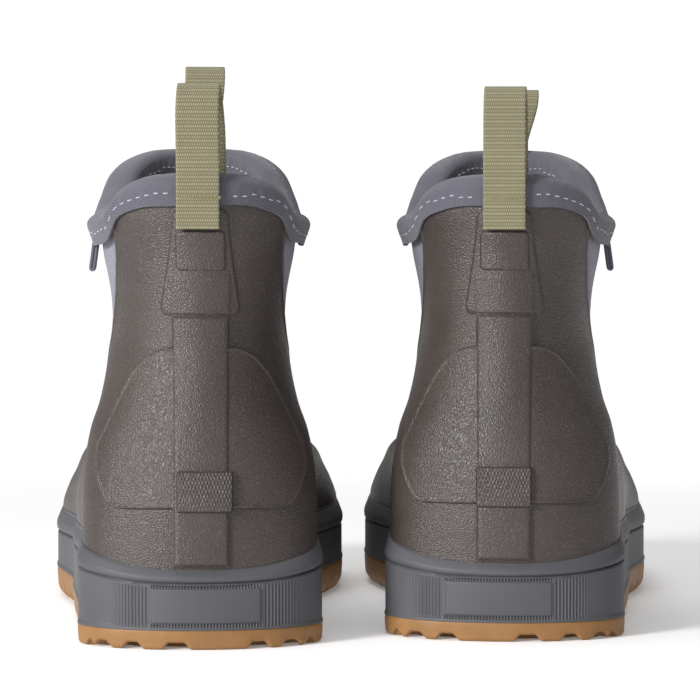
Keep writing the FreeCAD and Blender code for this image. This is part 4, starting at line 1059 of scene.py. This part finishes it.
def binding_profile():
    """The cloth's section as (depth, drop) pairs: outer leg, half an ellipse over the edge, inner leg, and
    back again one thickness inside."""
    outer, inner = -GAP - BINDING_THICK, PADDING_INNER + GAP + BINDING_THICK
    centre, wide = (outer + inner) / 2, (inner - outer) / 2
    fold = 4.2
    angle = np.linspace(0.0, math.pi, 19)
    outer_leg = np.linspace(BINDING_TALL, fold, 9)[:-1]
    inner_leg = np.linspace(fold, BINDING_TALL - 1.5, 8)[1:]
    section = []
    for shrink in (0.0, BINDING_THICK):
        across = centre - (wide - shrink) * np.cos(angle)
        over = np.stack([across, fold - (fold - shrink) * np.sin(angle)], -1)
        left = np.stack([np.full(8, centre - wide + shrink), outer_leg], -1)
        right = np.stack([np.full(7, centre + wide - shrink), inner_leg], -1)
        section.append(np.concatenate([left, over, right]))
    return np.concatenate([section[0], section[1][::-1]])


def collar_binding(boot):
    """Cloth strip folded over the collar: its section carried round the collar line, puckered a little
    along the row of stitches."""
    section = binding_profile()
    way = around_places(420)
    depth, drop = section[:, 0][None, :], section[:, 1][None, :]
    angle = math.pi * way[:, None]
    pucker = 0.12 * np.sin(61 * angle) * bell(drop - 6.2, 1.6)
    soft = 0.22 * np.sin(5 * angle + 1) + 0.16 * np.sin(13 * angle) + 0.08 * np.sin(29 * angle)
    outside = np.where(depth < 5, 1.0, -1.0)
    edge = 0.25 * np.sin(7 * angle) + 0.12 * np.sin(17 * angle + 2)
    up = collar_at(way)[:, None] - drop + edge * (drop > 9)
    grid = layer(way[:, None], up, depth - outside * (0.35 * soft - pucker))
    line = layer(way, collar_at(way) - 5, 0.0)
    run = np.concatenate([[0], np.cumsum(np.linalg.norm(np.roll(line, -1, 0) - line, axis=-1))])
    steps = np.hypot(*np.diff(np.concatenate([section, section[:1]]), axis=0).T)
    uv = ring_map(run * MM, np.concatenate([[0], np.cumsum(steps)]) * MM)
    thing = boot.piece("collar_binding_cloth", ring(grid), BINDING, ["collar_binding"], uv=uv, smooth=70)


def bent_tubes(centre, out, radius, turns):
    """Round tubes along centre[which, along]: circles square to the line, with out as their top."""
    side = np.cross(unit(np.gradient(centre, axis=1)), out)
    angle = np.linspace(0, 2 * math.pi, turns, endpoint=False)
    around = out[:, :, None, :] * np.sin(angle)[:, None] + side[:, :, None, :] * np.cos(angle)[:, None]
    return centre[:, :, None, :] + around * radius


def stitch_row(way, long_way, drop, depth, thick):
    """Stitches as bent tubes: each runs a little way round the collar at a drop below its top, dives into
    the cloth at both ends and lifts between them."""
    t = np.linspace(-0.5, 0.5, 9)[None, :]
    ways = way[:, None] + long_way * t
    up = collar_at(ways) - drop[:, None]
    arc = 0.35 * (1 - (2 * t) ** 4) - 0.25
    radius = thick / 2 * np.sqrt(np.clip(1 - (2 * np.abs(t)) ** 6, 0.15, 1))[..., None, None]
    return bent_tubes(layer(ways, up, depth - arc), normal(ways, up), radius, 8)


def binding_stitching(boot):
    """One row of pale stitches round the outside of the binding and one round its inside."""
    count = 84
    way = 2 * (np.arange(count) + 0.5) / count - 1
    wander = 0.4 * np.sin(7 * math.pi * way) + 0.3 * np.sin(23 * math.pi * way + 1)
    wander += 0.25 * np.sin(57 * math.pi * way)
    across = np.abs(skin(way, 165.0)[:, 0])
    clear = across > WEBBING_WIDE / 2 + 1.0
    way, wander, long_way = way[clear], wander[clear], 1.15 / count
    outside = stitch_row(way, long_way, 6.9 + wander, -GAP - BINDING_THICK, 0.5)
    inside = stitch_row(way, long_way, 7.2 + wander, PADDING_INNER + GAP + BINDING_THICK + 0.5, 0.42)
    both = many_tubes(np.concatenate([outside, inside]))
    boot.piece("binding_stitching_thread", both, THREAD, ["binding_stitching"], smooth=80)


# ---------------------------------------------------------------- the webbing loops and the tag


def smoothed(line, times):
    """A line whose inner points have been moved to the mean of their neighbours a few times."""
    for _ in range(times):
        line[1:-1] = (line[:-2] + 2 * line[1:-1] + line[2:]) / 4
    return line


def even_line(line, step):
    """The line cut again into steps of even length; returns it and how far along it each point is."""
    run = np.concatenate([[0], np.cumsum(np.linalg.norm(np.diff(line, axis=0), axis=-1))])
    places = np.linspace(0, run[-1], int(run[-1] / step) + 1)
    return np.stack([np.interp(places, run, line[:, k]) for k in range(line.shape[1])], -1), places


def ribbon(line, side, wide, thick, corner=0.5):
    """A flat strip carried along a line: side is the direction of its width, and its section is a
    rectangle with rounded corners, wide by thick."""
    out = unit(np.cross(unit(np.gradient(line, axis=0)), side))
    half, tall = wide / 2, thick / 2
    flat = np.linspace(-half + corner, half - corner, 17)
    turn = np.linspace(0, math.pi / 2, 4)[1:-1]
    bend = lambda x, y, a: np.stack([x + corner * np.cos(a), y + corner * np.sin(a)], -1)
    upper = np.stack([flat[::-1], np.full(17, tall)], -1)
    lower = np.stack([flat, np.full(17, -tall)], -1)
    inset = tall - corner
    section = np.concatenate([
        bend(half - corner, -inset, -math.pi / 2 + turn),
        [[half, -inset], [half, inset]], bend(half - corner, inset, turn), upper,
        bend(-half + corner, inset, math.pi / 2 + turn),
        [[-half, inset], [-half, -inset]], bend(-half + corner, -inset, math.pi + turn), lower,
    ])
    section = np.roll(section, 17 // 2 + 1, axis=0)
    sideways = side[:, None, :] * section[None, :, 0, None]
    return line[:, None, :] + sideways + out[:, None, :] * section[None, :, 1, None], section


def strip_map(places, section, faces, columns):
    """The cloth map of a strip: across its width, and along its line."""
    across = np.tile(section[:, 0], len(places)) * MM
    along = np.repeat(places, columns) * MM
    return np.stack([across, along], -1)[faces]


def pull_loop(boot, end, lean, twist, peak, offset):
    """Webbing loop: up the outside of the collar over the binding, round a free arch and down the inside.
    lean moves the top sideways, twist the inner strand and offset the whole loop, in millimetres to the
    pair's right; peak is the height of its top."""
    front = end == "front"
    way, top = (1.0, COLLAR_FRONT) if front else (0.0, COLLAR_REAR)
    sign = 1.0 if front else -1.0
    foot = boot.loop_foot(end)
    outer_depth = -2 * GAP - BINDING_THICK - WEBBING_THICK / 2
    inner_depth = PADDING_INNER + 2 * GAP + BINDING_THICK + WEBBING_THICK / 2
    tail = np.linspace(top - 20, top + 3, 40)
    dent = 0.0 if front else 0.45 * bell(tail - top + STITCH_DROP, 0.9)
    outside = layer(way, tail, outer_depth + dent)[:, 1:]
    inside = layer(way, tail[4:][::-1], inner_depth)[:, 1:]
    spring = peak - WEBBING_THICK / 2 - LOOP_HALF
    angle = np.linspace(0.0, math.pi, 30)
    arch = np.stack([foot[1] + sign * LOOP_HALF * np.cos(angle), spring + LOOP_HALF * np.sin(angle)], -1)
    rise = np.linspace(top + 8, spring - 0.4, 30)
    left = np.stack([np.full(30, foot[1] + sign * LOOP_HALF), rise], -1)
    right = np.stack([np.full(30, foot[1] - sign * LOOP_HALF), rise[::-1]], -1)
    line, _ = even_line(np.concatenate([outside, left, arch, right, inside]), 0.5)
    line, places = even_line(smoothed(line, 12), 0.45)
    height = ease(0.0, 1.0, (line[:, 1] - top + 2) / (peak - top))
    share = places / places[-1]
    shift = (offset + lean * height + twist * ease(0.0, 1.0, (share - 0.35) / 0.4)) * boot.hand
    centre = np.column_stack([middle(foot[1]) + shift, line])
    yaw = 0.05 * np.sin(math.pi * share) * boot.hand
    side = np.stack([np.cos(yaw), np.sin(yaw), 0 * yaw], -1)
    grid, section = ribbon(centre, side, WEBBING_WIDE, WEBBING_THICK)
    points, faces = tube(grid)
    uv = strip_map(places, section, faces, len(section))
    thing = boot.piece(
        f"{end}_loop_webbing", (points, faces), WEBBING, [f"{end}_loop", f"{end}_loop_tails"],
        uv=uv, body=None, smooth=60,
    )
    start = foot + np.array([0, 0, 1.5])
    tuple(boot.placed(start))
    tuple(boot.placed(start + np.array([0, 0, 7.0])))
    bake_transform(thing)


def loop_stitching(boot):
    """The cross-stitched row that holds the webbing down over the binding."""
    along = np.linspace(-6.6, 6.6, 11)
    t = np.linspace(-0.5, 0.5, 7)
    base = COLLAR_REAR - STITCH_DROP
    grids = []
    for slant in (-1, 1):
        across = along[:, None] + 1.35 * t[None, :]
        up = base + slant * t[None, :] + 0 * across
        depth = 0.3 - 2 * GAP - BINDING_THICK - WEBBING_THICK - 0.25 * (1 - (2 * t[None, :]) ** 2)
        centre = np.stack([across, layer(0.0, up, depth)[..., 1], up], -1)
        out = np.broadcast_to(np.array([0.0, -1.0, 0.0]), centre.shape)
        grids.append(bent_tubes(centre, out, 0.24, 6))
    boot.piece("rear_loop_stitching", many_tubes(np.concatenate(grids)), KHAKI_THREAD, smooth=80)


def side_tag(boot):
    """Folded cloth tab under the binding: one strip goes down, round a small fold and up again behind."""
    along, up = 55.0, COLLAR_DIP - BINDING_TALL - 0.5
    way = -way_at(along, up)
    top = layer(way, up, -0.9)
    t = np.linspace(0.0, 1.0, 24)
    down = np.stack([-0.66 - 1.3 * t, 1.4 - 9.6 * t], -1)
    angle = np.linspace(0.0, math.pi, 12)
    fold = np.stack([-1.3 - 0.66 * np.cos(angle), -8.2 - 0.6 * np.sin(angle)], -1)
    up_again = np.stack([0.66 - 1.3 * t[::-1], 1.4 - 9.6 * t[::-1]], -1)
    line, _ = even_line(np.concatenate([down, fold[1:-1], up_again]), 0.3)
    line, places = even_line(smoothed(line, 4), 0.3)
    centre = top + np.column_stack([line[:, 0], 0 * line[:, 0], line[:, 1]])
    side = np.tile(np.array([0.0, 1.0, 0.0]), (len(centre), 1))
    grid, section = ribbon(centre, side, TAG_WIDE, TAG_THICK)
    points, faces = tube(grid)
    uv = strip_map(places, section, faces, len(section))
    thing = boot.piece(
        "side_tag_cloth", (points, faces), TAG_CLOTH, ["side_tag"], uv=uv, body="tag", smooth=60,
    )


# ---------------------------------------------------------------- the pair, its room and the camera


def build(boot, rear_loop, front_loop):
    """Every piece of one boot; each loop is given as its lean, twist, peak and offset."""
    for make in (
        outsole, sidewall, heel_plate, footbed, rear_quarter, vamp, heel_panel, back_band, kick_tab,
        rear_loop_patch, rear_loop_pad, front_loop_patch, toe_cap,
    ):
        make(boot)
    gusset(boot, "lateral_gusset", -1)
    gusset(boot, "medial_gusset", 1)
    for make in (lining, collar_padding, collar_binding, binding_stitching):
        make(boot)
    pull_loop(boot, "rear", *rear_loop)
    pull_loop(boot, "front", *front_loop)
    loop_stitching(boot)
    side_tag(boot)


def finish_hidden_nodes():
    """The firm pieces inside the boots keep their CAD shape and get a finish of their own."""
    hidden = {
        "midsole": FOAM, "shank": STEEL, "insole_board": BOARD, "heel_counter": STIFF, "toe_puff": STIFF,
    }
    for boot_name in ("left", "right"):
        for node, finish in hidden.items():
            slots = frame["nodes"][f"{boot_name}_{node}"].data.materials
            slots.clear()
            slots.append(finish)


def floor_finish():
    """White paper floor: it takes soft shadows near the boots and glows evenly further out."""
    material, nodes, shader = start_finish(
        "pale_floor", Specular_IOR_Level=0.1, Roughness=0.9, Emission_Strength=1.0,
    )
    place = place_of(nodes)
    away = nodes.add("VectorMath", {0: place}, operation="LENGTH").outputs["Value"]
    paper = nodes.mix(nodes.noise(place, 3.0, 2.0), rgb(0.88, 0.88, 0.885), rgb(0.9, 0.9, 0.9))
    far = nodes.remap(away, 0.3, 0.75)
    nodes.tree.links.new(nodes.mix(far, paper, rgb(0.0, 0.0, 0.0)), shader.inputs["Base Color"])
    glow = nodes.mix(far, rgb(0.16, 0.16, 0.16), rgb(1.0, 1.0, 1.0))
    nodes.tree.links.new(glow, shader.inputs["Emission Color"])
    return material


def make_floor():
    reach = 30.0
    mesh = bpy.data.meshes.new("floor")
    corners = [(-reach, -reach, 0), (reach, -reach, 0), (reach, reach, 0), (-reach, reach, 0)]
    mesh.from_pydata(corners, [], [(0, 1, 2, 3)])
    mesh.materials.append(floor_finish())
    floor = bpy.data.objects.new("floor", mesh)
    bpy.context.scene.collection.objects.link(floor)


def area_light(name, place, target, size, power, colour=(1, 1, 1)):
    light = bpy.data.lights.new(name, "AREA")
    light.shape = "DISK"
    light.size, light.energy, light.color = size, power, colour
    thing = bpy.data.objects.new(name, light)
    bpy.context.scene.collection.objects.link(thing)
    thing.location = place
    reach = np.array(target) - np.array(place)
    flat = math.hypot(reach[0], reach[1])
    thing.rotation_euler = (math.atan2(flat, -reach[2]), 0, math.atan2(reach[1], reach[0]) - math.pi / 2)


def light_room():
    """A bright room seen by the camera, dimmer as a light, with a large soft key light from the left."""
    world = bpy.data.worlds.new("room")
    world.use_nodes = True
    nodes = Nodes(world.node_tree)
    back = world.node_tree.nodes["Background"]
    seen = nodes.add("LightPath").outputs["Is Camera Ray"]
    strength = nodes.math("ADD", nodes.math("MULTIPLY", seen, 0.75), 0.3)
    world.node_tree.links.new(strength, back.inputs["Strength"])
    back.inputs["Color"].default_value = rgb(1.0, 1.0, 1.0)
    bpy.context.scene.world = world
    area_light("key", (-1.35, -1.4, 0.7), (0, 0, 0.1), 0.6, 50.0)
    area_light("top", (-0.2, -0.1, 2.0), (0, 0, 0), 1.2, 15.0)
    area_light("front", (0.1, -2.2, 0.7), (0, 0, 0.1), 1.0, 4.0)


def add_camera():
    camera = bpy.data.cameras.new("camera")
    camera.lens = 157.3
    camera.sensor_width = 36.0
    thing = bpy.data.objects.new("camera", camera)
    bpy.context.scene.collection.objects.link(thing)
    thing.location = (-0.0015, -1.2649, 0.146)
    thing.rotation_euler = (math.radians(88.05), 0, 0)
    bpy.context.scene.camera = thing


add_camera()
light_room()
make_floor()
build(Boot("left", 1), (-0.4, 2.8, 205.0, -1.1), (2.8, 0.0, 217.0, 0.0))
build(Boot("right", -1), (0.0, 0.8, 205.0, 0.0), (5.2, 0.0, 209.0, 0.0))
finish_hidden_nodes()
bpy.context.scene.view_settings.view_transform = "Standard"
